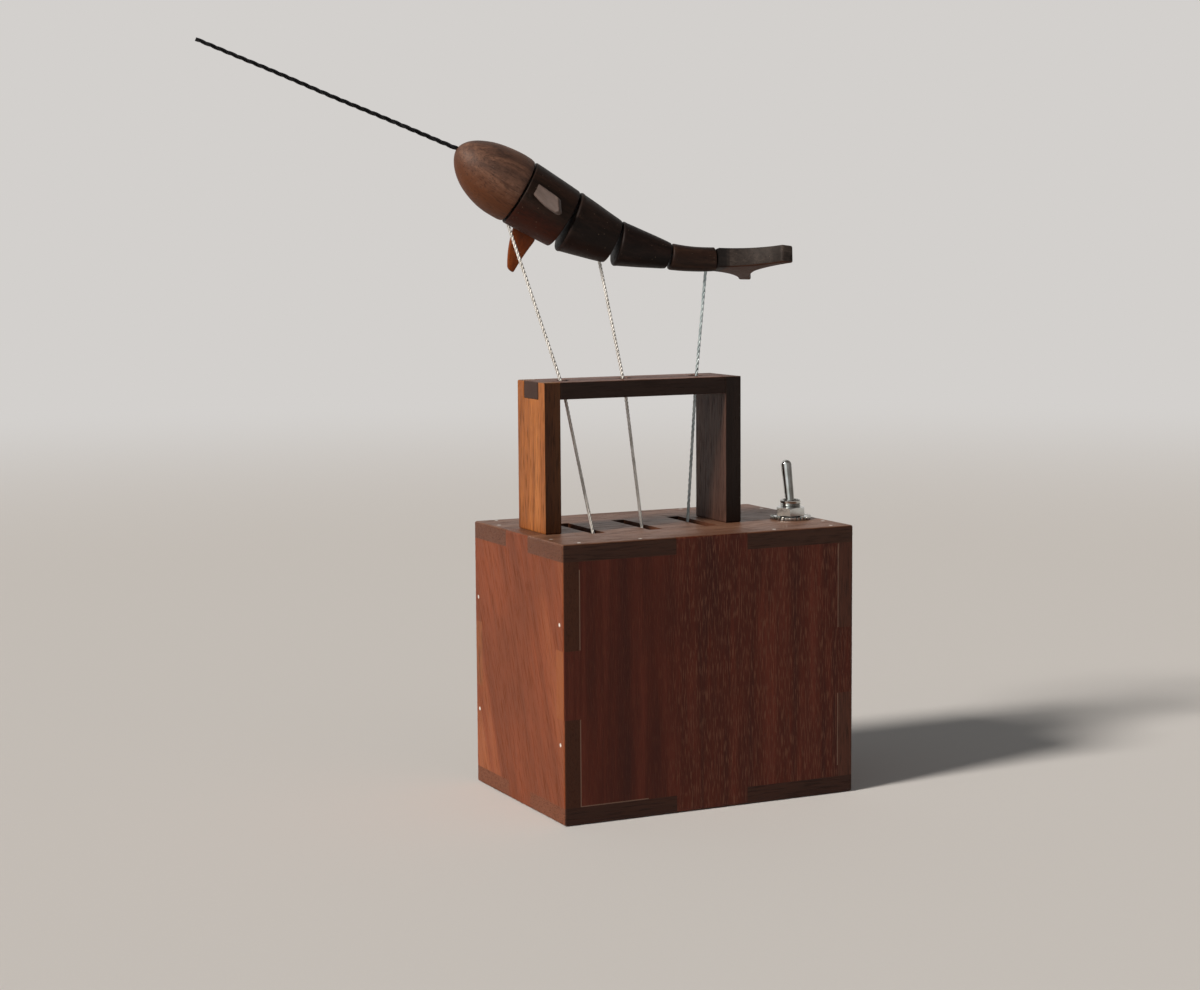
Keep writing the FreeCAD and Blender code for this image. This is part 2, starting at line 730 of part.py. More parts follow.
def chain():
    """Places each piece by its hinges, outwards from the belly."""
    places = {"belly": piece_placement(body_point(0, 0, 0), belly_pitch)}
    waist = to_world(places["belly"], 0, 0, waist_radius - hinge_depth)
    hip = to_world(places["belly"], belly_length, 0, hip_radius - hinge_depth)

    def hang(hinge, pitch, x, z):
        turned = piece_placement(V(0, 0, 0), pitch)
        return piece_placement(hinge.sub(turned.multVec(V(x, 0, z))), pitch)

    places["chest"] = hang(waist, chest_pitch, chest_length, waist_radius - hinge_depth)
    neck = to_world(places["chest"], 0, 0, neck_radius - hinge_depth)
    places["head"] = hang(neck, head_pitch, 0, neck_radius - hinge_depth)
    places["haunch"] = hang(hip, haunch_pitch, 0, hip_radius - hinge_depth)
    tail = to_world(places["haunch"], haunch_length, 0, tail_radius - hinge_depth)
    places["stock"] = hang(tail, stock_pitch, 0, tail_radius - hinge_depth)
    return places, {"neck": neck, "waist": waist, "hip": hip, "tail": tail}


places, hinges = chain()


def turned(profile):
    """Revolves a closed profile of (x, radius) edges about local X."""
    return Part.Face(Part.Wire(profile)).revolve(V(0, 0, 0), V(1, 0, 0), 360)


def barrel(length, front_radius, back_radius):
    """A slightly bellied taper between two joint faces, with eased rims."""
    x0, x1 = joint_gap / 2, length - joint_gap / 2
    middle = V(length / 2, 0, (front_radius + back_radius) / 2 * 1.012)
    side = Part.Arc(V(x0, 0, front_radius), middle, V(x1, 0, back_radius)).toShape()
    profile = [Part.LineSegment(V(x0, 0, 0), V(x0, 0, front_radius)).toShape(), side,
               Part.LineSegment(V(x1, 0, back_radius), V(x1, 0, 0)).toShape(),
               Part.LineSegment(V(x1, 0, 0), V(x0, 0, 0)).toShape()]
    body = turned(profile)
    rims = [e for e in body.Edges if len(e.Vertexes) == 1]
    return body.makeChamfer(piece_easing, rims)


def head_block():
    """A blunt dome, fuller under the jaw side than a half ellipse."""
    back = -joint_gap / 2
    curve = Part.BSplineCurve()
    curve.interpolate([V(back, 0, neck_radius), V(-head_length * 0.27, 0, neck_radius * 1.035),
                       V(-head_length * 0.57, 0, neck_radius * 0.9),
                       V(-head_length * 0.84, 0, neck_radius * 0.6), V(-head_length, 0, 0)],
                      InitialTangent=V(-1, 0, 0.1), FinalTangent=V(0, 0, -1))
    profile = [curve.toShape(),
               Part.LineSegment(V(-head_length, 0, 0), V(back, 0, 0)).toShape(),
               Part.LineSegment(V(back, 0, 0), V(back, 0, neck_radius)).toShape()]
    return turned(profile)


def tail_stock():
    """A short round bar that curves up from the last joint to the fluke."""
    bend = math.radians(stock_upturn)
    radius = stock_length / bend
    rings = []
    for share in (0, 0.33, 0.67, 1):
        turn = bend * share
        at = V(joint_gap / 2 + radius * math.sin(turn), 0, radius * (1 - math.cos(turn)))
        size = tail_radius + (stock_end_radius - tail_radius) * share
        rings.append(Part.Wire(Part.makeCircle(size, at, V(math.cos(turn), 0, math.sin(turn)))))
    return Part.makeLoft(rings, True)


def stock_end():
    """Local placement of the tail stock's end face."""
    bend = math.radians(stock_upturn)
    radius = stock_length / bend
    at = V(joint_gap / 2 + radius * math.sin(bend), 0, radius * (1 - math.cos(bend)))
    return FreeCAD.Placement(at, FreeCAD.Rotation(V(0, 1, 0), -stock_upturn))


def strip_cutter(x0, x1, radius, room):
    """The strip itself, or the room it bends in, in the frame of a piece. z is the hinge line."""
    half = radius * strip_width_share
    tall = strip_thickness / 2 + room
    z = radius - hinge_depth
    return box(x0, x1, -half, half, z - tall, z + tall)


def leaf(root, tip, chord, width, shoulder):
    """A flipper: full front edge, back edge that turns at its shoulder and hollows in to the tip."""
    base, end = body_point(*root), body_point(*tip)
    along = unit(end.sub(base))
    wide = unit(body_direction(*chord))
    wide = unit(wide.sub(along * wide.dot(along)))
    flat = along.cross(wide)
    length = end.sub(base).Length

    def at(x, y):
        return base.add(along * length * x).add(wide * width * y)

    def beyond_root(edge):
        return max(v.Point.sub(base).dot(along) for v in edge.Vertexes) > length * 0.01

    front, back, turn = at(0, -0.5), at(0, 0.5 - flipper_flare * shoulder), at(shoulder, 0.5)
    nose, cheek = at(1, -0.02), at(0.95, -0.3)
    hollow = at((1 + shoulder) / 2, 0.2)
    outline = Part.Wire([Part.LineSegment(back, turn).toShape(),
                         Part.Arc(turn, hollow, nose).toShape(),
                         Part.LineSegment(nose, cheek).toShape(),
                         Part.Arc(cheek, at(0.5, -0.52), front).toShape(),
                         Part.LineSegment(front, back).toShape()])
    blade = Part.Face(outline).extrude(flat * flipper_thickness)
    blade.translate(flat * (-flipper_thickness / 2))
    corners = [e for e in blade.Edges if beyond_root(e)
               and abs(e.tangentAt(e.FirstParameter).dot(flat)) > 0.99]
    blade = blade.makeFillet(flipper_corner * width, corners)
    rims = [e for e in blade.Edges if beyond_root(e)
            and abs(e.tangentAt(e.FirstParameter).dot(flat)) < 0.01]
    return blade.makeFillet(flipper_easing, rims)


def fluke_blade():
    """Both lobes in one plate, in the frame of the tail stock's end face."""
    half = fluke_span / 2
    tip_x = fluke_length
    mid_x = fluke_length * 0.55

    def lobe(side):
        root = V(-fluke_overlap, side * fluke_root_half, 0)
        front = V(tip_x, side * half, 0)
        back = V(tip_x + fluke_tip_chord, side * (half - fluke_tip_set), 0)
        return [
            Part.Arc(root, V(mid_x, side * fluke_waist_half, 0), front).toShape(),
            Part.LineSegment(front, back).toShape(),
            Part.Arc(back, V(fluke_notch + fluke_bulge, side * half / 2, 0),
                     V(fluke_notch, 0, 0)).toShape(),
        ]

    near, far = lobe(-1), lobe(1)
    root = Part.LineSegment(V(-fluke_overlap, -fluke_root_half, 0),
                            V(-fluke_overlap, fluke_root_half, 0)).toShape()
    outline = Part.Wire(Part.__sortEdges__(near + far + [root]))
    thick, thin = fluke_root_thickness / 2, fluke_tip_thickness / 2
    end_x = tip_x + fluke_tip_chord
    plate = Part.Face(outline).extrude(V(0, 0, fluke_root_thickness))
    plate.translate(V(0, 0, -thick))
    side_view = Part.makePolygon([V(-fluke_overlap, -half, -thick), V(end_x, -half, -thin),
                                  V(end_x, -half, thin), V(-fluke_overlap, -half, thick),
                                  V(-fluke_overlap, -half, -thick)])
    plate = plate.common(Part.Face(side_view).extrude(V(0, fluke_span, 0)))
    rims = [e for e in plate.Edges if max(v.X for v in e.Vertexes) > 0
            and min(v.Z for v in e.Vertexes) * max(v.Z for v in e.Vertexes) > 0]
    plate = plate.makeFillet(fluke_easing, rims)
    aim = FreeCAD.Rotation(V(0, 0, 1), fluke_yaw)
    for axis, angle in ((V(0, 1, 0), fluke_pitch), (V(1, 0, 0), fluke_roll)):
        aim = aim.multiply(FreeCAD.Rotation(axis, angle))
    plate.Placement = FreeCAD.Placement(V(0, 0, 0), aim)
    behind = box(-fluke_span, 0, -fluke_span, fluke_span, -fluke_span, fluke_span)
    return plate.cut(behind)


def radius_along(x, length, front_radius, back_radius):
    return front_radius + (back_radius - front_radius) * x / length


def wire_points():
    """Top, guide and foot of each wire. The foot stops above the circle the crank sweeps."""
    reach = guide_z - crank_height - crank_throw - loop_reach - foot_clearance
    tops = []
    x = front_wire_setback
    tops.append(to_world(places["chest"], x, 0,
                         -radius_along(x, chest_length, neck_radius, waist_radius)))
    x = middle_wire_setback
    tops.append(to_world(places["belly"], x, 0,
                         -radius_along(x, belly_length, waist_radius, hip_radius)))
    x = rear_wire_setback
    turn = math.radians(stock_upturn) * x / stock_length
    bow = stock_length / math.radians(stock_upturn)
    tops.append(to_world(places["stock"], joint_gap / 2 + bow * math.sin(turn), 0,
                         bow * (1 - math.cos(turn)) - radius_along(x, stock_length, tail_radius,
                                                                   stock_end_radius)))
    wires = []
    for top, guide_x, pin in zip(tops, guide_xs, pins):
        guide = V(guide_x, 0, guide_z)
        foot = guide.add(unit(pin.sub(guide)) * reach)
        inside = top.add(unit(top.sub(guide)) * wire_entry)
        wires.append({"top": top, "inside": inside, "guide": guide, "foot": foot, "pin": pin})
    return wires


wires = wire_points()


def wire_solid(w):
    path = rounded_path([w["inside"], w["guide"], w["foot"]], [wire_bend_radius])
    return tube_along(path, wire_diameter)


def socket(w, diameter, depth):
    """The hole that a wire's end sits in, wide enough for it to swing."""
    inward = unit(w["inside"].sub(w["guide"]))
    return rod(w["top"].sub(inward * 2), w["top"].add(inward * depth), diameter)


def build_narwhal():
    placed = {
        "head": head_block(),
        "chest": barrel(chest_length, neck_radius, waist_radius),
        "belly": barrel(belly_length, waist_radius, hip_radius),
        "haunch": barrel(haunch_length, hip_radius, tail_radius),
        "stock": tail_stock(),
    }
    joints = (
        ("neck_strip", "chest", 0, neck_radius, "head"),
        ("waist_strip", "chest", chest_length, waist_radius, "belly"),
        ("hip_strip", "belly", belly_length, hip_radius, "haunch"),
        ("tail_strip", "haunch", haunch_length, tail_radius, "stock"),
    )
    cutters = {name: [] for name in placed}
    for strip, holder, x, radius, guest in joints:
        x_low, x_high = (x - strip_reach, x + strip_reach)
        own = strip_cutter(x_low, x_high, radius, 0)
        own.Placement = places[holder]
        keep(strip, own)
        cutters[holder].append(own)
        room = strip_cutter(-strip_reach - strip_room, strip_reach + strip_room, radius, strip_room)
        room.Placement = places[guest]
        cutters[guest].append(room)
    for name, solid in placed.items():
        solid.Placement = places[name]
        for cutter in cutters[name]:
            solid = solid.cut(cutter)
        placed[name] = solid

    root = to_world(places["head"], -head_length, 0, tusk_start)
    aim = body_direction(-math.cos(math.radians(tusk_pitch)), 0, math.sin(math.radians(tusk_pitch)))
    seat = root.sub(aim * tusk_seat)
    tusk = Part.makeCone(tusk_root_diameter / 2, tusk_tip_diameter / 2,
                         tusk_length + tusk_seat, seat, aim)
    keep("tusk", tusk)
    placed["head"] = placed["head"].cut(tusk)

    near = leaf(near_root, near_tip, near_chord, near_flipper_width, near_shoulder)
    far = leaf(far_root, far_tip, far_chord, far_flipper_width, far_shoulder)
    keep("flipper_near", near)
    keep("flipper_far", far)
    placed["chest"] = placed["chest"].cut(near).cut(far)
    placed["chest"] = placed["chest"].cut(socket(wires[0], socket_diameter, socket_depth))
    placed["belly"] = placed["belly"].cut(socket(wires[1], wire_diameter, wire_entry))
    placed["stock"] = placed["stock"].cut(socket(wires[2], socket_diameter, socket_depth))

    fluke = fluke_blade()
    fluke.Placement = places["stock"].multiply(stock_end()).multiply(fluke.Placement)
    keep("fluke", fluke)
    for name, solid in placed.items():
        keep("tail_stock" if name == "stock" else name, solid)
    for name, w in zip(wire_names, wires):
        keep("wire_" + name, wire_solid(w))


# ---- leads ------------------------------------------------------------------------------
def build_leads():
    tab_x = tray_right + tray_tab[0] / 2
    tab_y = cell_ys[1] + tray_tab[1] / 2
    side = pedestal_width / 2 + lead_side_gap
    past_tray = tray_right + lead_bow
    middle = (pedestal_x0 + pedestal_x1) / 2
    low = cell_axis_z
    half_way = (low + pedestal_top) / 2
    end_x = (cap_end + inner_x) / 2
    tab_top = crank_height + motor_tab[2] / 2
    tab_bottom = crank_height - motor_tab[2] / 2
    terminal_z = switch_base_z - terminal_size[2]
    over_motor = (motor_top + terminal_z) / 2
    end_y = switch_y + terminal_pitch
    routes = {
        "lead_battery_switch": [
            V(tab_x, tab_y, low), V(tab_x, tab_y + lead_bow, low),
            V(past_tray, side * 0.85, low), V(middle, side, low), V(pedestal_x1, side, half_way),
            V(pedestal_x1, side, crank_height), V(switch_x, side / 2, over_motor),
            V(switch_x, end_y, terminal_z - lead_bow), V(switch_x, end_y, terminal_z)],
        "lead_switch_motor": [
            V(switch_x, switch_y, terminal_z), V(switch_x, switch_y, over_motor),
            V(end_x, -2 * motor_tab_offset, motor_top + lead_diameter),
            V(end_x, -motor_tab_offset, crank_height + lead_bow),
            V(end_x, -motor_tab_offset, tab_top)],
        "lead_battery_motor": [
            V(tab_x, -tab_y, low), V(tab_x, -tab_y - lead_bow, low),
            V(past_tray, -side * 0.85, low), V(middle, -side, low), V(pedestal_x1, -side, half_way),
            V(end_x, -side / 2, pedestal_top - lead_bow), V(end_x, 0, pedestal_top - lead_diameter),
            V(end_x, motor_tab_offset, pedestal_top), V(end_x, motor_tab_offset, tab_bottom)],
    }
    for name, points in routes.items():
        keep(name, tube_along(rounded_path(points, lead_radii(points)), lead_diameter))


build_case()
build_bridge()
build_crank()
build_motor()
build_battery()
build_switch()
build_narwhal()
build_leads()

for name, shape in nodes.items():
    shape.exportStep("parts/" + name + ".step")
    solids = shape.Solids
    good = all(s.isValid() for s in solids)
    print(name, len(solids), "solids", "valid" if good else "INVALID", round(shape.Volume, 2))
for name, point in hinges.items():
    print("hinge", name, round(point.x, 3), round(point.y, 3), round(point.z, 3))
for name, w in zip(wire_names, wires):
    print("wire", name, {k: (round(p.x, 2), round(p.y, 2), round(p.z, 2)) for k, p in w.items()})
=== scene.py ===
import bmesh
import bpy
import json
import math
from mathutils import Matrix, Vector, noise
from mathutils.geometry import intersect_line_line_2d


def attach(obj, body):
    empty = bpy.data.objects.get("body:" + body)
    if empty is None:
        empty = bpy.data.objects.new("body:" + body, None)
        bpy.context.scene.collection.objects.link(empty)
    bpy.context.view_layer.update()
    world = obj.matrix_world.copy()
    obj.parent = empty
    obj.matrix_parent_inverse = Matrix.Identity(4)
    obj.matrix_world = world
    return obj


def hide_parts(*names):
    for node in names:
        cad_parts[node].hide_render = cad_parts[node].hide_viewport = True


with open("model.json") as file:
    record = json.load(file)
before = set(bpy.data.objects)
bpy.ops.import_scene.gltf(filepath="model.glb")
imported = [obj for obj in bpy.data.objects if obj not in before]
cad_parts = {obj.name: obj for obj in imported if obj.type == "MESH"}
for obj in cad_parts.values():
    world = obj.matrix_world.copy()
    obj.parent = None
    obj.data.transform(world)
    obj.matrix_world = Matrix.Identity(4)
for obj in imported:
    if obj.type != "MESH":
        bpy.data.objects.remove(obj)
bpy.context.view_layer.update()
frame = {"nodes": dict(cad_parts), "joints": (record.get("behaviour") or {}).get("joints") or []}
nodes = frame["nodes"]
joints = {j["name"]: j for j in frame["joints"]}
mm = 0.001
fullTurn, quarterTurn = 2 * math.pi, math.pi / 2
sameSpot = 0.001 * mm    # vertices closer than this are one
rimSteps = 4    # faces across a rounded rim
hub = 0.05    # radius in mm that is left open at the end of a turned profile, and closed by a flat face
print("frame loaded:", len(nodes), "nodes")


# ---- small helpers
def linear(hexText):    # sRGB hex to the linear colour that shaders take
    parts = [int(hexText[i:i + 2], 16) / 255 for i in (1, 3, 5)]
    return [c / 12.92 if c <= 0.04045 else ((c + 0.055) / 1.055) ** 2.4 for c in parts] + [1.0]


def feed(tree, node, links):    # links: socket name or number -> value, hex colour or output socket
    for key, value in links.items():
        if isinstance(value, bpy.types.NodeSocket):
            tree.links.new(value, node.inputs[key])
        else:
            node.inputs[key].default_value = linear(value) if isinstance(value, str) else value


def addNode(tree, kind, settings=None, links=None):
    node = tree.nodes.new("ShaderNode" + kind)
    for key, value in (settings or {}).items():
        setattr(node, key, value)
    feed(tree, node, links or {})
    return node


def newMaterial(name):
    material = bpy.data.materials.new(name)
    material.use_nodes = True
    tree = material.node_tree
    return material, tree, tree.nodes["Principled BSDF"]


def coordinates(tree, kind="Object"):
    return addNode(tree, "TexCoord").outputs[kind]


def mapped(tree, where, **sockets):    # sockets: Location, Rotation or Scale
    return addNode(tree, "Mapping", None, {"Vector": where, **sockets}).outputs[0]


def component(tree, vector, axis):
    return addNode(tree, "SeparateXYZ", None, {0: vector}).outputs["XYZ".index(axis)]


def compute(tree, operation, *values):    # values: numbers or output sockets
    return addNode(tree, "Math", {"operation": operation}, dict(enumerate(values))).outputs[0]


def smoothRange(tree, value, start, end, low=0.0, high=1.0):
    return addNode(tree, "MapRange", {"interpolation_type": "SMOOTHSTEP"},
                   {0: value, 1: start, 2: end, 3: low, 4: high}).outputs[0]


def perMetre(sizeMm):    # a pattern's scale from its real size
    return 1000.0 / sizeMm


def noiseAt(tree, where, sizeMm, **sockets):    # sockets: Detail, Roughness or Distortion
    return addNode(tree, "TexNoise", None, {"Vector": where, "Scale": perMetre(sizeMm), **sockets}).outputs[0]


def relief(tree, height, strength, depthMm):
    return addNode(tree, "Bump", None, {"Strength": strength, "Distance": depthMm * mm,
                                        "Height": height}).outputs[0]


def ramp(tree, source, stops):    # stops: (position, grey value or hex colour)
    node = addNode(tree, "ValToRGB", None, {0: source})
    while len(node.color_ramp.elements) < len(stops):
        node.color_ramp.elements.new(0.5)
    for element, (position, value) in zip(node.color_ramp.elements, stops):
        element.position = position
        element.color = linear(value) if isinstance(value, str) else [value, value, value, 1]
    return node.outputs["Color"]


def blendColour(tree, factor, first, second, mode="MIX"):
    node = addNode(tree, "Mix", {"data_type": "RGBA", "blend_type": mode},
                   {0: factor, 6: first, 7: second})
    return node.outputs[2]


def facing(tree, axis):    # 1 where the surface looks along an axis of the piece, 0 beside it
    return compute(tree, "ABSOLUTE", component(tree, coordinates(tree, "Normal"), axis))


def insideBox(tree, where, box):    # how strongly a mark shows inside x0, x1, z0, z1 in mm; used for dried glue and for painted shade
    x0, x1, z0, z1 = box
    for operation, *amount in (("SUBTRACT", ((x0 + x1) / 2 * mm, 0, (z0 + z1) / 2 * mm)),
                               ("MULTIPLY", (2 / ((x1 - x0) * mm), 0, 2 / ((z1 - z0) * mm))),
                               ("ABSOLUTE",)):
        where = addNode(tree, "VectorMath", {"operation": operation},
                        {0: where, **dict(enumerate(amount, 1))}).outputs[0]
    furthest = compute(tree, "MAXIMUM", component(tree, where, "X"), component(tree, where, "Z"))
    return compute(tree, "MULTIPLY", compute(tree, "LESS_THAN", furthest, 1.0), 0.55)


def addObject(name, data):
    piece = bpy.data.objects.new(name, data)
    bpy.context.scene.collection.objects.link(piece)
    return piece


def meshPiece(name, bm, place=None, weld=None):    # weld: distance at which vertices become one
    if weld:
        bmesh.ops.remove_doubles(bm, verts=bm.verts, dist=weld)
    bmesh.ops.recalc_face_normals(bm, faces=bm.faces)
    mesh = bpy.data.meshes.new(name)
    bm.to_mesh(mesh)
    bm.free()
    piece = addObject(name, mesh)
    if place is not None:
        piece.matrix_world = place
    return piece


def dress(piece, material, body, replaced, sharpAngle):
    piece.data.materials.append(material)
    piece.data.shade_smooth()
    for face in piece.data.polygons:    # flat ends and faces stay flat
        face.use_smooth = face.loop_total <= 4
    piece.data.set_sharp_from_angle(angle=math.radians(sharpAngle))
    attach(piece, body)
    if replaced:
        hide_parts(*replaced)


def skin(bm, rings, capped):    # faces between neighbouring rings, and over both ends when capped
    count = len(rings[0])
    for a, b in zip(rings, rings[1:]):
        for k in range(count):
            bm.faces.new((a[k], a[(k + 1) % count], b[(k + 1) % count], b[k]))
    if capped:
        bm.faces.new(rings[0])
        bm.faces.new(rings[-1])


def roundVert(bm, radius, angle, z):
    return bm.verts.new(Vector((radius * math.cos(angle), radius * math.sin(angle), z)) * mm)


def revolve(bm, profile, around, capped=False):    # profile: (radius, z), in mm
    skin(bm, [[roundVert(bm, radius, fullTurn * k / around, z) for k in range(around)]
              for radius, z in profile], capped)


def roundedRim(ease):    # points of a quarter circle, from the end face round to the side: way in, drop
    angles = [quarterTurn * step / rimSteps for step in range(rimSteps + 1)]
    return [(ease * (1 - math.cos(a)), ease * (1 - math.sin(a))) for a in angles]


# ---- woods
fibreDraw = 0.055    # fibres are about 18 times longer than wide


def oiledWalnut(name, settings):
    # black walnut, planed and oiled: satin brown boards, dark pores drawn out along the fibres,
    # broad soft bands where the growth rings run out, and a low sheen that dulls in the pores
    board = {**planed, **settings}
    material, tree, shader = newMaterial(name)
    where = coordinates(tree)
    shifted = mapped(tree, where, Location=board["shift"], Rotation=board["turn"])

    def drawn(share):    # the same place, drawn out along the grain
        scale = [share if axis == board["grain"] else 1.0 for axis in "XYZ"]
        return mapped(tree, shifted, Scale=scale)

    along = drawn(fibreDraw)
    figure = noiseAt(tree, along, board["band"], Detail=4.0, Roughness=0.55, Distortion=0.5)
    cloud = noiseAt(tree, shifted, 26, Detail=2.0)
    fibres = noiseAt(tree, along, 0.6, Detail=3.0, Roughness=0.7)
    pores = noiseAt(tree, drawn(board["poreDraw"]), 0.34, Detail=2.0, Roughness=0.5)
    poreMask = ramp(tree, pores, [(0.52, 0.0), (0.64, 1.0)])
    colour = ramp(tree, figure, [(0.3, board["deep"]), (0.52, board["middle"]), (0.72, board["pale"])])
    clouded = ramp(tree, cloud, [(0.38, 0.0), (0.66, board["cloud"])])
    colour = blendColour(tree, clouded, colour, board["deep"])
    for axis, tone in board["edges"].items():    # faces along each listed axis take their own tone: along Y it is painted shade on the front and back faces turned from the window, on other axes the tone of end grain or of the neighbouring board
        looks = ramp(tree, facing(tree, axis), [(0.7, 0.0), (0.85, 0.88)])
        colour = blendColour(tree, looks, colour, tone)
    streak = ramp(tree, fibres, [(0.3, 0.62), (0.5, 0.98), (0.7, 1.28)])
    streakDepth, poreDepth = board["streak"], board["pore"]
    if "calm" in board:    # quiet figure to one side of the board, open grain to the other
        start, end = board["calm"]
        openGrain = smoothRange(tree, component(tree, where, "X"), start * mm, end * mm, 0.25)
        streakDepth = compute(tree, "MULTIPLY", openGrain, streakDepth)
        poreDepth = compute(tree, "MULTIPLY", openGrain, poreDepth)
    colour = blendColour(tree, streakDepth, colour, streak, "MULTIPLY")
    colour = blendColour(tree, compute(tree, "MULTIPLY", poreMask, poreDepth), colour, board["poreTone"])
    for line in board["glue"]:    # pale dried glue left along the joint
        colour = blendColour(tree, insideBox(tree, where, line), colour, "#8a7161")
    rough = ramp(tree, fibres, [(0.3, board["rough"] - 0.07), (0.75, board["rough"] + 0.08)])
    rough = blendColour(tree, poreMask, rough, [0.7, 0.7, 0.7, 1])
    height = compute(tree, "MULTIPLY_ADD", poreMask, -1.0, fibres)
    feed(tree, shader, {"Base Color": colour, "Roughness": rough, "Specular IOR Level": 0.22,
                        "Normal": relief(tree, height, board["relief"], 0.08)})
    return material


planed = dict(grain="Z", turn=(0, 0, 0), band=6.0, cloud=0.3, streak=0.45, pore=0.5, relief=0.4,
              poreDraw=fibreDraw, poreTone="#1c0f0a", glue=[])    # what a board has unless it says otherwise
# one board each: colours, edge tones and where in the log it was cut; the edge tones along Y are painted
# shade
boards = {
    # front board: its dark colour is partly painted shade, for the front turned from the window
    "front": dict(deep="#3a130a", middle="#4e1c0d", pale="#642b1c", band=5.0, streak=0.55, rough=0.5,
                  relief=0.5, shift=(0.3, 0.1, 0.0), calm=(-18, -6), poreDraw=0.09, poreTone="#754f3d",
                  edges={"X": "#96552f", "Z": "#6d4a36"},
                  glue=[(-40.7, -40.4, 5, 29), (-40.7, -40.4, 48, 70), (-40.7, -20, 4.8, 5.1),
                        (40.4, 40.7, 8, 29), (40.4, 40.7, 48, 72)]),
    "left": dict(deep="#6a3318", middle="#834123", pale="#965533", band=12.0, cloud=0.5, streak=0.28,
                 pore=0.22, rough=0.46, relief=0.5, shift=(1.3, 0.7, 0.2), turn=(0.35, 0.0, 0.0),
                 edges={"Y": "#33190b", "Z": "#6d4a36"}),
    "right": dict(deep="#5b3526", middle="#7a4b36", pale="#946049", band=8.0, cloud=0.4, streak=0.5,
                  rough=0.47, relief=0.45, shift=(2.9, 1.7, 0.4),
                  edges={"Y": "#462419", "Z": "#6d4a36"}),
    "back": dict(deep="#502b1b", middle="#6b3f29", pale="#855439", band=6.5, cloud=0.4, streak=0.6,
                 pore=0.55, rough=0.48, relief=0.5, shift=(4.1, 2.3, 0.8),
                 edges={"X": "#8d5230", "Z": "#6d4a36"}),
    # top board: its greyer, lighter colour is partly painted sheen, the pale wall's reflection at a grazing
    # view
    "top": dict(grain="X", deep="#634030", middle="#7f5a45", pale="#99725c", band=7.0, cloud=0.35,
                rough=0.42, shift=(5.2, 0.4, 1.9), edges={"Y": "#2e150b", "X": "#5f3724"}),
    "bottom": dict(grain="X", deep="#4b2c20", middle="#643e2e", pale="#7c5240", band=7.0, cloud=0.4,
                   streak=0.5, rough=0.5, relief=0.45, shift=(6.7, 3.1, 0.7),
                   edges={"Y": "#30170d", "X": "#74422a"}),
    "leftPost": dict(deep="#7c431c", middle="#a5622d", pale="#c27c42", streak=0.55, rough=0.45,
                     shift=(7.3, 1.1, 0.5), edges={"Y": "#2e170c", "Z": "#7c5535"}),
    # right post: darker than the left post partly as painted shade, the left post's shadow on its inner face
    "rightPost": dict(deep="#38211a", middle="#4e3328", pale="#654639", rough=0.46,
                      shift=(8.9, 0.3, 0.9), edges={"Y": "#0d0704", "Z": "#5f4334"}),
    "bar": dict(grain="X", deep="#583427", middle="#714a3a", pale="#8a6150", rough=0.44,
                shift=(9.4, 2.2, 0.2), edges={"Y": "#0d0704", "X": "#2e180d"}),
}


def carvedWalnut(name, settings):
    # darker heartwood, turned and hand sanded: nearly black brown with fine mottling along the
    # body, pale dust specks left in the pores and a soft waxy sheen
    block = {**sanded, **settings}
    material, tree, shader = newMaterial(name)
    where = coordinates(tree)
    shifted = mapped(tree, where, Location=block["shift"])
    along = mapped(tree, shifted, Scale=(0.09, 1.0, 1.0))
    figure = noiseAt(tree, along, 2.6, Detail=4.0, Roughness=0.6, Distortion=0.6)
    mottle = noiseAt(tree, shifted, 1.1, Detail=5.0, Roughness=0.7)
    pores = noiseAt(tree, along, 0.3, Detail=2.0)
    specks = addNode(tree, "TexVoronoi", {"feature": "F1"},
                     {"Vector": shifted, "Scale": perMetre(1.5)}).outputs["Distance"]
    colour = ramp(tree, figure, [(0.32, block["deep"]), (0.5, block["middle"]), (0.7, block["pale"])])
    shade = ramp(tree, mottle, [(0.32, 0.6), (0.5, 1.0), (0.68, 1.3)])
    colour = blendColour(tree, block["mottle"], colour, shade, "MULTIPLY")
    if "under" in block:    # painted warm bounce light on the underside, its edge broken by the figure
        tone, low, high = block["under"]
        slope = component(tree, coordinates(tree, "Normal"), "Z")
        slope = compute(tree, "MULTIPLY_ADD", slope, 0.5, 0.5)
        ragged = compute(tree, "MULTIPLY_ADD", mottle, 0.3, slope)
        colour = blendColour(tree, ramp(tree, ragged, [(low, 0.9), (high, 0.0)]), colour, tone)
    if "end" in block:    # painted shade: the ends along the piece darker than the sides, for the tip turned from the window
        ends = ramp(tree, facing(tree, "X"), [(0.7, 0.0), (0.9, 0.85)])
        colour = blendColour(tree, ends, colour, block["end"])
    for stainAndShade in block["shadeBoxes"]:    # painted shade boxes, x0, x1, z0, z1 in mm
        colour = blendColour(tree, insideBox(tree, where, stainAndShade), colour, "#0d0b0c")
    poreMask = ramp(tree, pores, [(0.54, 0.0), (0.66, block["pore"])])
    colour = blendColour(tree, poreMask, colour, "#140c09")
    speckMask = ramp(tree, specks, [(0.04, block["dust"]), (0.085, 0.0)])
    colour = blendColour(tree, speckMask, colour, "#8f7a69")
    rough = ramp(tree, mottle, [(0.35, block["rough"] - 0.06), (0.7, block["rough"] + 0.1)])
    height = compute(tree, "MULTIPLY_ADD", poreMask, -0.8, mottle)
    feed(tree, shader, {"Base Color": colour, "Roughness": rough, "Normal": relief(tree, height, 0.4, 0.08),
                        "Specular IOR Level": block["sheen"]})
    return material


sanded = dict(mottle=0.5, rough=0.5, pore=0.5, dust=0.6, sheen=0.14, shadeBoxes=[])
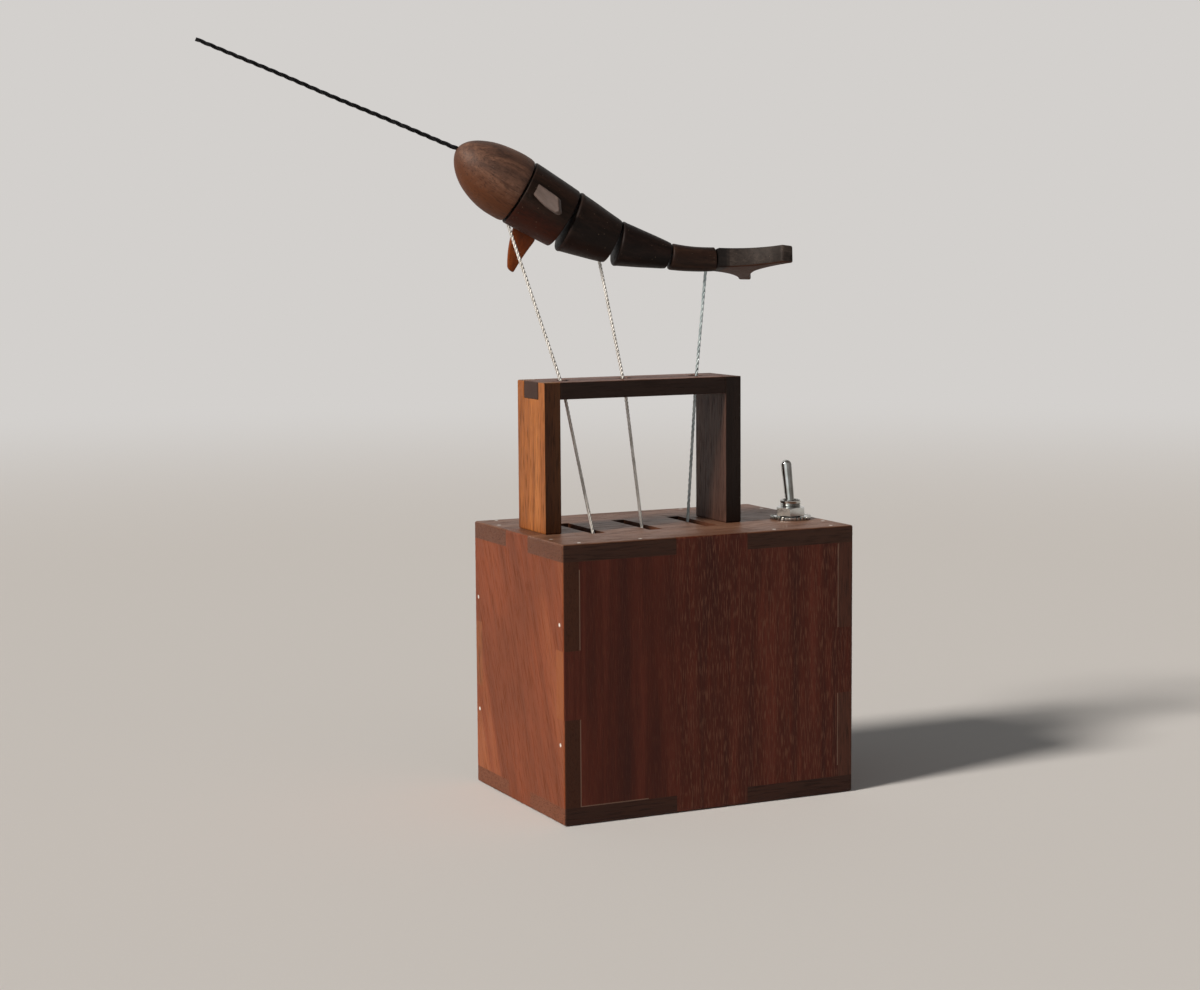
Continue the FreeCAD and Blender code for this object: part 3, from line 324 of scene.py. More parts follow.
# painted bounce light on the underside: its tone, and the slopes, 0 down to 1 up, between which it fades out
blocks = {
    "head": dict(deep="#48332a", middle="#5f4336", pale="#7a5846", mottle=0.7, rough=0.55, dust=0.5,
                 sheen=0.25, shift=(0.1, 0.4, 0.7), under=("#5e3113", 0.3, 0.66)),
    "chest": dict(deep="#170e0b", middle="#22160f", pale="#32211a", mottle=0.6, shift=(0.9, 0.2, 0.5),
                  under=("#40190a", 0.3, 0.55)),
    "belly": dict(deep="#16100d", middle="#201612", pale="#2f211b", shift=(1.8, 1.2, 0.1),
                  under=("#24110b", 0.28, 0.45)),
    "haunch": dict(deep="#120b09", middle="#1c120f", pale="#2b1d18", shift=(2.6, 0.6, 1.5)),
    "stock": dict(deep="#1d110c", middle="#2a1a13", pale="#3a281e", rough=0.52, dust=0.4, sheen=0.16,
                  shift=(3.3, 2.1, 0.8)),
    # fluke: its end tone is painted shade on the tip turned from the window
    # fluke: its two boxes are painted shade where the tail stock meets it
    "fluke": dict(deep="#29221f", middle="#3a322e", pale="#4c433e", mottle=0.7, rough=0.6, pore=0.4,
                  dust=0.3, sheen=0.16, shift=(4.9, 1.7, 2.2), under=("#46281a", 0.35, 0.52),
                  end="#1d1714", shadeBoxes=[(-3, 2.2, -9, 9), (-3, 3.0, -9, 9)]),
    # near flipper: the same wood as the far one; its grey colour is painted sheen, the window's light off its
    # upper face
    "nearFlipper": dict(deep="#473a34", middle="#544641", pale="#61524a", mottle=0.3, rough=0.55,
                        pore=0.0, dust=0.0, sheen=0.25, shift=(5.5, 0.8, 2.9)),
    "farFlipper": dict(deep="#582606", middle="#713208", pale="#884312", mottle=0.3, rough=0.45,
                       pore=0.1, dust=0.0, sheen=0.2, shift=(6.1, 1.8, 0.9)),
    "glueRing": dict(deep="#0c0706", middle="#110b08", pale="#19110d", mottle=0.3, pore=0.1, dust=0.0,
                     sheen=0.2, shift=(7.1, 0.2, 1.9)),
}


def planedBeech(name, settings):
    # beech, sawn and planed, no oil: pale pink brown with short dark flecks along the fibres
    material, tree, shader = newMaterial(name)
    along = mapped(tree, coordinates(tree), Scale=(0.08, 1.0, 1.0))
    grain = noiseAt(tree, along, 1.6, Detail=4.0)
    flecks = noiseAt(tree, along, 0.5, Detail=1.0)
    colour = ramp(tree, grain, [(0.35, settings["deep"]), (0.65, settings["pale"])])
    colour = blendColour(tree, ramp(tree, flecks, [(0.6, 0.0), (0.7, 0.6)]), colour, "#7d5434")
    feed(tree, shader, {"Base Color": colour, "Roughness": settings["rough"]})
    return material


# ---- metals, plastics and cloth
def workedMetal(name, settings):
    # a metal whose surface keeps the marks of how it was made: drawn, turned or plated. Weathered
    # zinc, lacquer and cut ends look pale and dry from every side, so those are only partly metallic
    worked = {"lay": (1, 1, 1), "metallic": 1.0, **settings}
    material, tree, shader = newMaterial(name)
    where = coordinates(tree)
    marks = noiseAt(tree, mapped(tree, where, Scale=worked["lay"]), worked["marks"], Detail=4.0)
    stainAndShade = noiseAt(tree, where, 3.5, Detail=3.0)
    feed(tree, shader, {
        "Base Color": ramp(tree, stainAndShade, [(0.35, worked["dull"]), (0.6, worked["bright"])]),
        "Roughness": ramp(tree, marks, [(0.3, worked["rough"] * 0.75), (0.7, worked["rough"] * 1.3)]),
        "Normal": relief(tree, marks, worked["relief"], 0.02), "Metallic": worked["metallic"]})
    return material


metals = {
    "wire": dict(name="galvanised steel wire", bright="#f2f0ec", dull="#cfccc6", rough=0.42, marks=0.5,
                 lay=(1, 1, 0.05), relief=0.2, metallic=0.2),
    "greenWire": dict(name="lacquered steel wire", bright="#cfdbdd", dull="#aab8bb", rough=0.4,
                      marks=0.5, lay=(1, 1, 0.05), relief=0.15, metallic=0.25),
    "blackWire": dict(name="blackened annealed wire", bright="#2a2a2c", dull="#161617", rough=0.36,
                      marks=0.6, lay=(0.1, 1, 1), relief=0.3, metallic=0.75),
    "plated": dict(name="nickel plated brass", bright="#cfd0cd", dull="#b4b4ae", rough=0.14, marks=0.5,
                   relief=0.08),
    "brad": dict(name="cut steel brad", bright="#fbf8f2", dull="#d8d5cf", rough=0.35, marks=0.3,
                 relief=0.3, metallic=0.35),
    "steel": dict(name="zinc plated steel", bright="#b4b5b6", dull="#8d8e90", rough=0.34, marks=0.4,
                  relief=0.2),
    "brass": dict(name="turned brass", bright="#d0ae62", dull="#a8853f", rough=0.3, marks=0.4,
                  relief=0.2),
}


def mouldedPlastic(name, settings):
    # injection moulded or extruded plastic: even colour with a fine spark eroded grain
    material, tree, shader = newMaterial(name)
    grain = noiseAt(tree, coordinates(tree), 0.35, Detail=3.0)
    feed(tree, shader, {
        "Base Color": ramp(tree, grain, [(0.3, settings["deep"]), (0.7, settings["pale"])]),
        "Roughness": ramp(tree, grain, [(0.3, settings["rough"] - 0.06), (0.7, settings["rough"] + 0.06)]),
        "Normal": relief(tree, grain, 0.2, 0.03)})
    return material


plastics = {
    "abs": dict(name="black ABS, moulded", deep="#141414", pale="#1d1d1e", rough=0.48),
    "sleeve": dict(name="PVC shrink sleeve", deep="#26323c", pale="#33424e", rough=0.28),
    "redCover": dict(name="red PVC insulation", deep="#8d1712", pale="#a31f18", rough=0.42),
    "blackCover": dict(name="black PVC insulation", deep="#121212", pale="#1c1c1c", rough=0.42),
}
waveLength = math.pi / 10    # a wave node's band is this wide at scale 1


def cottonCanvas(name, settings):
    # plain woven cotton stiffened with glue: dark threads over and under each other
    material, tree, shader = newMaterial(name)
    where = coordinates(tree)
    warp, weft = [addNode(tree, "TexWave", {"bands_direction": axis}, {
        "Vector": where, "Scale": perMetre(settings["thread"]) * waveLength}).outputs[1] for axis in "XY"]
    weave = compute(tree, "MAXIMUM", warp, weft)
    feed(tree, shader, {"Base Color": ramp(tree, weave, [(0.2, settings["deep"]), (0.9, settings["pale"])]),
                        "Roughness": 0.85, "Normal": relief(tree, weave, 0.5, 0.1)})
    return material


walnut = {key: oiledWalnut("oiled walnut, " + key, board) for key, board in boards.items()}
carved = {key: carvedWalnut("carved walnut, " + key, block) for key, block in blocks.items()}
beech = planedBeech("planed beech", dict(deep="#a77a50", pale="#c39a6e", rough=0.6))
metal = {key: workedMetal(look["name"], look) for key, look in metals.items()}
plastic = {key: mouldedPlastic(look["name"], look) for key, look in plastics.items()}
canvas = cottonCanvas("cotton canvas, glued", dict(thread=0.789, deep="#2a241e", pale="#4a4036"))
print("materials:", len(bpy.data.materials))


# ---- CAD nodes that keep their own shape
def keepNode(name, material, soften=0.0):    # soften: how far its edges are rubbed down, in mm
    piece = nodes[name]
    piece.data.materials.clear()
    piece.data.materials.append(material)
    if soften:
        weld = piece.modifiers.new("one skin", "WELD")
        weld.merge_threshold = 0.005 * mm
        ease = piece.modifiers.new("eased edges", "BEVEL")
        ease.width = soften * mm
        ease.segments = 2
        ease.limit_method = "ANGLE"
        ease.angle_limit = math.radians(35)
        ease.use_clamp_overlap = True


caseNodes = {    # node: board and soften
    "case_front": ("front", 0.16), "case_left": ("left", 0.16), "case_right": ("right", 0.16),
    "case_back": ("back", 0.16), "case_top": ("top", 0.16), "case_bottom": ("bottom", 0.16),
    "bridge_post_left": ("leftPost", 0.35), "bridge_post_right": ("rightPost", 0.35),
    "bridge_bar": ("bar", 0.3),
}
for name, (board, soften) in caseNodes.items():
    keepNode(name, walnut[board], soften)

innerNodes = (    # material, and the nodes made of it
    (metal["brad"], "panel_pins"),
    (metal["wire"], "wire_loop_front wire_loop_middle wire_loop_rear"),
    (metal["plated"], "battery_contacts"),
    (metal["steel"], "crankshaft arm_grub_screw motor_shaft motor_can motor_strap strap_screws tray_screws"),
    (metal["brass"], "bearing_bush thrust_collar crank_arm motor_gearbox motor_tabs switch_terminals"),
    (beech, "bearing_block motor_pedestal"),
    (plastic["abs"], "motor_cap battery_tray switch_body"),
    (plastic["sleeve"], "battery_cells"),
    (plastic["redCover"], "lead_battery_switch lead_switch_motor"),
    (plastic["blackCover"], "lead_battery_motor"),
    (canvas, "neck_strip waist_strip hip_strip tail_strip"),
)
for material, names in innerNodes:
    for name in names.split():
        keepNode(name, material)
print("kept nodes:", len(caseNodes) + sum(len(names.split()) for _, names in innerNodes))


# ---- narwhal
body = dict(yaw=13.06, neck=9.5, waist=8.85, hip=6.4, tail=3.75, stockEnd=3.35, hingeDepth=2.2, gap=0.6,
            head=21.0, chest=15.2, belly=14.7, haunch=15.9, stock=13.0, upturn=12.2,
            headPitch=30.6, chestPitch=30.6, bellyPitch=24.7, haunchPitch=14.0, stockPitch=10.2)
headShape = dict(swell=0.43, nose=1.4, blunt=0.567, lift=1.15, liftPower=3.4, rings=40)
cut = body["gap"] / 2


def localPlace(joint, key, x, radius):    # where a piece's own frame is, from its hinge
    hinge = Vector(joints[joint]["pos_m"])
    turn = Matrix.Rotation(math.radians(-body["yaw"]), 4, "Z")
    turn = turn @ Matrix.Rotation(math.radians(body[key + "Pitch"]), 4, "Y")
    start = Matrix.Translation((-x * mm, 0, (body["hingeDepth"] - radius) * mm))
    return Matrix.Translation(hinge) @ turn @ start


places = {
    "head": localPlace("head_nod", "head", 0, body["neck"]),
    "chest": localPlace("chest_pitch", "chest", body["chest"], body["waist"]),
    "belly": localPlace("chest_pitch", "belly", 0, body["waist"]),
    "haunch": localPlace("haunch_pitch", "haunch", 0, body["hip"]),
    "stock": localPlace("tail_pitch", "stock", 0, body["tail"]),
}
# wobble: how far hand sanding left a piece from round; swell: how full its side is, both in mm
turned = dict(around=72, wobble=0.1, wobbleScale=0.16, wobbleFrom=0.3, swell=0.09, rings=16, sharpAngle=50)


def turnedBlock(node, key, bodyName, profile, seed, lift=None, bend=None):
    # rings of a turned piece along its own X, from a profile of (x, radius)
    bm = bmesh.new()
    rings = []
    for x, radius in profile:
        ring = []
        for k in range(turned["around"]):
            angle = fullTurn * k / turned["around"]
            spot = Vector((x, radius * math.cos(angle), radius * math.sin(angle)))
            spot = spot * turned["wobbleScale"] + Vector((seed, seed * 2, 0))
            r = radius + (noise.noise(spot) * turned["wobble"] if radius > turned["wobbleFrom"] else 0)
            point = Vector((x, r * math.cos(angle), r * math.sin(angle) + (lift(x) if lift else 0)))
            ring.append(bm.verts.new((bend(point) if bend else point) * mm))
        rings.append(ring)
    skin(bm, rings, capped=True)
    piece = meshPiece(node + "_carved", bm, places[key], sameSpot)
    dress(piece, carved[key], bodyName, [node], turned["sharpAngle"])


def easedBarrel(key, frontRadius, backRadius, frontEase, backEase):
    # side profile with rounded rims, close set rings where it turns
    x0, x1 = cut, body[key] - cut
    profile = [(x0, hub)] + [(x0 + way, frontRadius - drop) for way, drop in roundedRim(frontEase)]
    for step in range(1, turned["rings"]):
        x = x0 + frontEase + (x1 - x0 - frontEase - backEase) * step / turned["rings"]
        share = (x - x0) / (x1 - x0)
        swell = turned["swell"] * math.sin(math.pi * share)
        profile.append((x, frontRadius + (backRadius - frontRadius) * share + swell))
    profile += [(x1 - way, backRadius - drop) for way, drop in reversed(roundedRim(backEase))]
    return profile + [(x1, hub)]


def headProfile():    # full behind the brow, closing to a blunt nose
    length, radius = body["head"], body["neck"]
    profile = [(-cut, hub), (-cut, radius - 0.35), (-cut - 0.1, radius - 0.1), (-cut - 0.35, radius)]
    for step in range(1, headShape["rings"]):
        x = -cut - 0.35 - (length - cut - 0.35) * math.sin(step / headShape["rings"] * quarterTurn)
        s = -x / length
        dome = max(0.0, 1 - s ** headShape["nose"]) ** headShape["blunt"]
        profile.append((x, radius * (1 + headShape["swell"] * s) * dome))
    return profile + [(-length, 0.02)]


def noseLift(x):    # the nose sits above the middle of the neck
    return headShape["lift"] * (-x / body["head"]) ** headShape["liftPower"] if x < 0 else 0.0


bow = body["stock"] / math.radians(body["upturn"])


def curveUp(point):    # bends the straight tail stock upwards about its own length
    turn = (point.x - cut) / bow
    out = bow - point.z
    return Vector((cut + out * math.sin(turn), point.y, bow - out * math.cos(turn)))


def stockProfile():
    wide, thin, length = body["tail"], body["stockEnd"], body["stock"]
    ease, rings = 0.45, 14
    profile = [(cut, hub), (cut, wide - ease), (cut + 0.12, wide - 0.15), (cut + ease, wide)]
    for step in range(1, rings + 1):
        share = step / rings
        profile.append((cut + ease + (length - ease) * share, wide + (thin - wide) * share))
    return profile + [(cut + length, hub)]


turnedBlock("head", "head", "head", headProfile(), 3.1, lift=noseLift)
turnedBlock("chest", "chest", "chest", easedBarrel("chest", body["neck"], body["waist"], 0.3, 0.4), 5.7)
turnedBlock("belly", "belly", "swimmer", easedBarrel("belly", body["waist"], body["hip"], 0.8, 0.3), 8.2)
turnedBlock("haunch", "haunch", "haunch", easedBarrel("haunch", body["hip"], body["tail"], 0.7, 0.3), 11.9)
turnedBlock("tail_stock", "stock", "tail", stockProfile(), 14.3, bend=curveUp)


# flat carved pieces: an outline with eased rims
def arcThrough(a, b, c, count):    # points from a to c on the circle through all three
    chord, other = c - a, b - a
    cross = 2 * (chord.x * other.y - chord.y * other.x)
    centre = a + Vector((other.y * chord.length_squared - chord.y * other.length_squared,
                         chord.x * other.length_squared - other.x * chord.length_squared)) / cross
    first, way, sweep = [math.atan2(p.y - centre.y, p.x - centre.x) for p in (a, b, c)]
    sweep, way = (sweep - first) % fullTurn, (way - first) % fullTurn
    if way > sweep:
        sweep -= fullTurn
    angles = [first + sweep * k / count for k in range(count + 1)]
    return [centre + Vector((math.cos(angle), math.sin(angle))) * (a - centre).length for angle in angles]


def evenly(points, spacing):    # the same line with its points a constant distance apart
    line, left = [points[0]], spacing
    for a, b in zip(points, points[1:]):
        run = (b - a).length
        while left <= run:
            line.append(a.lerp(b, left / run))
            left += spacing
        left -= run
    return line


def softened(points, passes):    # corners worn round, ends kept
    for _ in range(passes):
        inner = [(a + b * 2 + c) / 4 for a, b, c in zip(points, points[1:], points[2:])]
        points = [points[0]] + inner + [points[-1]]
    return points


def uncrossed(line, longestLoop=40):
    # a loop that an inset leaves at a tight corner shrinks to the point where the line crosses itself
    count = len(line)
    for k in range(count):
        for step in range(2, longestLoop):
            crossing = intersect_line_line_2d(line[k], line[(k + 1) % count],
                                              line[(k + step) % count], line[(k + step + 1) % count])
            if crossing:
                for inside in range(1, step + 1):
                    line[(k + inside) % count] = crossing.copy()
    return line


def softPlate(name, outline, halfAt, easing, place):    # halfAt gives half the thickness at x
    area = sum(a.x * b.y - b.x * a.y for a, b in zip(outline, outline[1:] + outline[:1]))
    runs = [(b - a).normalized() for a, b in zip(outline[-1:] + outline[:-1], outline[1:] + outline[:1])]
    inward = [Vector((-run.y, run.x)) * math.copysign(1, area) for run in runs]
    layers = roundedRim(easing)
    bm = bmesh.new()
    rings = []
    for side, steps in ((1, layers), (-1, layers[::-1])):
        for drop, inset in steps:
            line = uncrossed([point + normal * inset for point, normal in zip(outline, inward)])
            rings.append([bm.verts.new(Vector((p.x, p.y, side * (halfAt(p.x) - drop))) * mm) for p in line])
    skin(bm, rings, capped=True)
    return meshPiece(name, bm, place, sameSpot / 10)


fluke = dict(length=14.6, half=14.6, tipChord=3.8, tipSet=0.6, notch=13.3, bulge=1.6, overlap=3.0,
             rootHalf=3.0, waistHalf=6.8, waistShare=0.55, rootThick=5.8, tipThick=4.9, inset=0.4,
             yaw=9.0, pitch=6.0, roll=-10.5, easing=0.55, spacing=0.25, wear=8)


def carvedFluke():
    tipX, half = fluke["length"], fluke["half"]
    endX = tipX + fluke["tipChord"]

    def lobe(side):    # from the root round the tip to the notch
        root = Vector((-fluke["overlap"], fluke["rootHalf"]))
        waist = Vector((tipX * fluke["waistShare"], fluke["waistHalf"]))
        front, back = Vector((tipX, half)), Vector((endX, half - fluke["tipSet"]))
        middle, notch = Vector((fluke["notch"] + fluke["bulge"], half / 2)), Vector((fluke["notch"], 0))
        leading = [p for p in arcThrough(root, waist, front, 60) if p.x > -fluke["inset"]]
        line = evenly(leading + [back] + arcThrough(back, middle, notch, 40)[1:], fluke["spacing"])
        return [Vector((p.x, side * p.y)) for p in softened(line, fluke["wear"])]

    def halfAt(x):
        share = (x + fluke["overlap"]) / (endX + fluke["overlap"])
        return (fluke["rootThick"] + (fluke["tipThick"] - fluke["rootThick"]) * share) / 2

    end = curveUp(Vector((cut + body["stock"], 0, 0)))
    place = places["stock"] @ Matrix.Translation(end * mm)
    for angle, axis in ((-body["upturn"], "Y"), (fluke["yaw"], "Z"), (fluke["pitch"], "Y"),
                        (fluke["roll"], "X")):
        place = place @ Matrix.Rotation(math.radians(angle), 4, axis)
    piece = softPlate("fluke_carved", lobe(1) + lobe(-1)[::-1][1:], halfAt, fluke["easing"], place)
    dress(piece, carved["fluke"], "tail", ["fluke"], sharpAngle=60)


carvedFluke()

# root, tip and direction of the chord: along the body, across it and up, from the belly's front face
flippers = {
    "near": dict(root=(-9.8, -7.6, 9.4), tip=(-5.4, -19.0, 2.1), chord=(0.675, -0.054, 0.733), width=4.35,
                 shoulder=0.7, easing=0.4),
    "far": dict(root=(-9.7, 6.6, 0.2), tip=(-13.7, 9.5, -14.7), chord=(0.938, 0.071, -0.341), width=6.8,
                shoulder=0.33, easing=0.6),
}
flipperShape = dict(thick=1.7, flare=0.46, spacing=0.2, wear=14)


def bodyVector(u, v, z):
    yaw = math.radians(body["yaw"])
    return Vector((u * math.cos(yaw) + v * math.sin(yaw), -u * math.sin(yaw) + v * math.cos(yaw), z))


def flipperLeaf(key, leaf):
    # full front edge, back edge that turns at its shoulder and hollows in to the tip
    middle = places["belly"].translation / mm
    base, tip = middle + bodyVector(*leaf["root"]), middle + bodyVector(*leaf["tip"])
    along = (tip - base).normalized()
    wide = bodyVector(*leaf["chord"])
    wide = (wide - along * wide.dot(along)).normalized()
    place = Matrix((along, wide, along.cross(wide))).transposed().to_4x4()
    place.translation = base * mm

    def at(x, y):    # shares of the length and of the width
        return Vector((x * (tip - base).length, y * leaf["width"]))

    shoulder = leaf["shoulder"]
    line = [at(0, 0.5 - flipperShape["flare"] * shoulder)]
    line += arcThrough(at(shoulder, 0.5), at((1 + shoulder) / 2, 0.2), at(1, -0.02), 24)
    line += arcThrough(at(0.95, -0.3), at(0.5, -0.52), at(0, -0.5), 32)
    outline = softened(evenly(line, flipperShape["spacing"]), flipperShape["wear"])
    piece = softPlate("flipper_" + key + "_carved", outline, lambda x: flipperShape["thick"] / 2,
                      leaf["easing"], place)
    dress(piece, carved[key + "Flipper"], "chest", ["flipper_" + key], sharpAngle=60)


for key, leaf in flippers.items():
    flipperLeaf(key, leaf)

dowel = dict(x=2.22, angle=-178.2, diameter=1.5, rim=0.26, proud=0.05, depth=-0.6)


def chestDowel():    # a plug no bigger than a pin head, set in glue that dried dark
    radius = body["neck"] + (body["waist"] - body["neck"]) * dowel["x"] / body["chest"]
    turn = Matrix.Rotation(math.radians(dowel["angle"] - 90), 4, "X")
    place = places["chest"] @ Matrix.Translation((dowel["x"] * mm, 0, 0)) @ turn
    place = place @ Matrix.Translation((0, 0, (radius + dowel["proud"]) * mm))
    wide, rim, deep = dowel["diameter"] / 2, dowel["rim"], dowel["depth"]
    ring = [(wide + rim, deep), (wide + rim, -0.12), (wide + rim * 0.7, -0.02), (wide, -0.06), (wide, deep)]
    plug = [(wide, deep), (wide, 0.0), (wide - 0.1, 0.05), (0.02, 0.09)]
    for name, profile, material in (("chest_glue_ring", ring, carved["glueRing"]),
                                    ("chest_dowel", plug, carved["chest"])):
        bm = bmesh.new()
        revolve(bm, profile, 32, capped=True)
        dress(meshPiece(name, bm, place), material, "chest", None, sharpAngle=50)


chestDowel()
print("narwhal carved")


# ---- twisted wires and tusk
def roundedLine(points, bendRadius):    # the corner at the guide hole becomes an arc
    start, corner, end = points
    inward, outward = (start - corner).normalized(), (end - corner).normalized()
    reach = bendRadius * math.tan((math.pi - inward.angle(outward)) / 2)
    first, last = corner + inward * reach, corner + outward * reach
    above, arc, below = 60, 12, 80    # spans in each part of the line
    line = [start.lerp(first, k / above) for k in range(above)]
    for k in range(arc):    # a quadratic curve stands in for the arc, which turns only a few degrees
        t = k / arc
        line.append(first * (1 - t) ** 2 + corner * 2 * t * (1 - t) + last * t * t)
    return line + [last.lerp(end, k / below) for k in range(below + 1)]


def laidStrands(node, line, rope, material, bodyName):
    # round strands laid about each other, one turn for every lay millimetres
    lengths = [0.0]
    for a, b in zip(line, line[1:]):
        lengths.append(lengths[-1] + (b - a).length)
    total = lengths[-1]
    steps = int(total / rope["lay"] * rope["steps"])
    reach = 0.5 / math.sin(math.pi / rope["strands"])    # rope's middle to a strand's, in strand diameters
    normal = (line[1] - line[0]).normalized().orthogonal()
    spine, index = [], 0
    for k in range(steps + 1):
        d = min(total * k / steps, total - 1e-6)
        while lengths[index + 1] < d:
            index += 1
        share = (d - lengths[index]) / (lengths[index + 1] - lengths[index])
        tangent = (line[index + 1] - line[index]).normalized()
        normal = (normal - tangent * normal.dot(tangent)).normalized()
        spine.append((line[index].lerp(line[index + 1], share), tangent, normal.copy(), d))
    sides = [fullTurn * s / rope["sides"] for s in range(rope["sides"])]
    bm = bmesh.new()
    for strand in range(rope["strands"]):
        rings = []
        for point, tangent, across, d in spine:
            size = rope["strand"] * (1 + (rope["taper"] - 1) * d / total)
            other = tangent.cross(across)
            angle = fullTurn * (d / rope["lay"] + strand / rope["strands"])
            out = across * math.cos(angle) + other * math.sin(angle)
            sweep = other * math.cos(angle) - across * math.sin(angle)
            run = (tangent + sweep * (fullTurn * size * reach / rope["lay"])).normalized()
            side = run.cross(out)
            centre = point + out * size * reach
            rings.append([bm.verts.new((centre + (out * math.cos(b) + side * math.sin(b)) * size / 2) * mm)
                          for b in sides])
        skin(bm, rings, capped=True)
    dress(meshPiece(node + "_laid", bm), material, bodyName, [node], sharpAngle=70)


wires = {    # line: inside the wood, guide hole, cut end above the crank, in mm
    "front": dict(line=((-42.84, 10.89, 163.84), (-30.78, 0.0, 116.7), (-25.02, -11.18, 67.12)),
                  body="wire_front", finish="wire", strand=0.46, lay=3.6),
    "middle": dict(line=((-17.23, 4.86, 153.33), (-11.62, 0.0, 116.7), (-7.35, -4.8, 65.96)),
                   body="swimmer", finish="wire", strand=0.46, lay=3.4),
    "rear": dict(line=((13.31, -2.44, 150.29), (11.17, 0.0, 116.7), (9.39, 3.24, 65.68)),
                 body="wire_rear", finish="greenWire", strand=0.44, lay=5.2),
}
wireRope = dict(strands=3, taper=1.0, steps=12, sides=8, bend=8.0)
for key, wire in wires.items():
    line = roundedLine([Vector(p) for p in wire["line"]], wireRope["bend"])
    laidStrands("wire_" + key, line, {**wireRope, **wire}, metal[wire["finish"]], wire["body"])

tusk = dict(length=76.6, seat=3.0, start=1.5, pitch=22.4, waver=0.14, waves=5.0, wavesAt=7.7, seed=7,
            spans=40, strands=3, strand=0.62, lay=9.0, taper=0.88, steps=20, sides=12)
tuskRoot = (places["head"] @ Vector((-body["head"] * mm, 0, tusk["start"] * mm))) / mm
slope = math.radians(tusk["pitch"])
tuskAim = bodyVector(-math.cos(slope), 0, math.sin(slope))
tuskLine = []
noise.seed_set(tusk["seed"])    # without it the clock seeds noise_vector, and the tusk wavers anew each run
for step in range(tusk["spans"] + 1):    # straightened by hand, so it wavers a little between its ends
    share = step / tusk["spans"]
    point = tuskRoot + tuskAim * (share * (tusk["length"] + tusk["seat"]) - tusk["seat"])
    free = min(1.0, share * 4, (1 - share) * 4)
    sway = noise.noise_vector(Vector((share * tusk["waves"], tusk["wavesAt"], 0)))
    tuskLine.append(point + sway * tusk["waver"] * free)
laidStrands("tusk", tuskLine, tusk, metal["blackWire"], "head")
print("wires laid")


# ---- toggle switch
switch = dict(x=37.2, y=-9.5, top=77.0, rise=5.8, pivotDrop=2.4, lean=11.5)    # top: of the case
bushing = dict(wide=6.0, foot=72.6, bore=3.86, mouth=4.6, thread=0.25, threadDepth=0.16, threadFrom=73.0,
               threadEnd=0.9)
washer = dict(thick=1.2, wide=11.8, teeth=30, toothLength=1.0, ringInset=0.3, toothInset=0.02, twist=0.26,
              rootShare=0.36, tipShare=0.3, ease=0.07)
nut = dict(high=2.4, flats=8.0, faceShare=0.985, cone=0.62, holeEdge=0.2)
lever = dict(length=14.0, tip=3.15, neck=2.6, ball=3.7, tail=2.0, tailRadius=0.8, neckFrom=1.6)
switchPlace = Matrix.Translation((switch["x"] * mm, switch["y"] * mm, 0))
nutBase = switch["top"] + washer["thick"]
bushingTop = switch["top"] + switch["rise"]


def platedPiece(node, look, bm, sharpAngle, weld=None, place=switchPlace, bodyName="case"):
    piece = meshPiece(node + "_" + look, bm, place, weld)
    dress(piece, metal["plated"], bodyName, [node], sharpAngle)
    return piece


def switchBushing():    # fine thread, chamfered rim, flared mouth for the lever
    top, radius, bore, mouth = bushingTop, bushing["wide"] / 2, bushing["bore"] / 2, bushing["mouth"] / 2
    profile = [(bore, bushing["foot"]), (radius, bushing["foot"])]
    z, crest = bushing["threadFrom"], True
    while z < top - bushing["threadEnd"]:
        profile.append((radius if crest else radius - bushing["threadDepth"], z))
        z += bushing["thread"]
        crest = not crest
    profile += [(radius, top - 0.62), (radius, top - 0.36), (radius - 0.1, top - 0.28), (radius - 0.3, top),
                (mouth + 0.12, top), (mouth, top - 0.1), (bore, top - switch["pivotDrop"]),
                (bore, bushing["foot"])]
    bm = bmesh.new()
    revolve(bm, profile, 72)
    platedPiece("switch_bushing", "threaded", bm, 30, sameSpot)


def lockWasher():    # flat ring whose edge is cut into small twisted teeth
    z0, z1 = switch["top"], nutBase
    outer, inner = washer["wide"] / 2, bushing["wide"] / 2 + 0.02
    root = outer - washer["toothLength"]
    low, high = z0 + washer["ringInset"], z1 - washer["ringInset"]
    bm = bmesh.new()
    revolve(bm, [(inner, low), (root + 0.1, low), (root + 0.1, high), (inner, high), (inner, low)], 96)
    pitch = fullTurn / washer["teeth"]
    for k in range(washer["teeth"]):
        corners = []
        for radius, share, inset, skew in (
                (root - 0.1, washer["rootShare"], washer["ringInset"], 0.0),
                (outer, washer["tipShare"], washer["toothInset"], washer["twist"])):
            low, high = z0 + inset, z1 - inset
            for side, z in ((-1, low), (1, low + skew), (1, high), (-1, high - skew)):
                corners.append(roundVert(bm, radius, k * pitch + side * pitch * share, z))
        for face in ((0, 1, 2, 3), (7, 6, 5, 4), (0, 4, 5, 1), (1, 5, 6, 2), (2, 6, 7, 3), (3, 7, 4, 0)):
            bm.faces.new([corners[i] for i in face])
    piece = platedPiece("switch_washer", "toothed", bm, 35, sameSpot)
    ease = piece.modifiers.new("worn teeth", "BEVEL")
    ease.width, ease.segments, ease.limit_method = washer["ease"] * mm, 2, "ANGLE"


def hexNut():    # six flats, corners turned down to a cone at the top
    z0, z1 = nutBase, nutBase + nut["high"]
    flat, hole, around = nut["flats"] / 2, bushing["wide"] / 2 + 0.03, 96
    rim = flat * nut["faceShare"]
    columns = []
    bm = bmesh.new()
    for k in range(around):
        angle = fullTurn * (k + 0.5) / around
        edge = flat / math.cos((angle + math.pi / 3) % (math.pi / 3) - math.pi / 6)
        drop = max(0.0, edge - rim) * nut["cone"]
        columns.append([roundVert(bm, radius, angle, z) for radius, z in (
            (hole, z0), (edge, z0), (edge, z1 - drop), (rim, z1), (hole + nut["holeEdge"], z1),
            (hole, z1 - nut["holeEdge"]))])
    skin(bm, columns + columns[:1], capped=False)
    platedPiece("switch_nut", "hex", bm, 24)


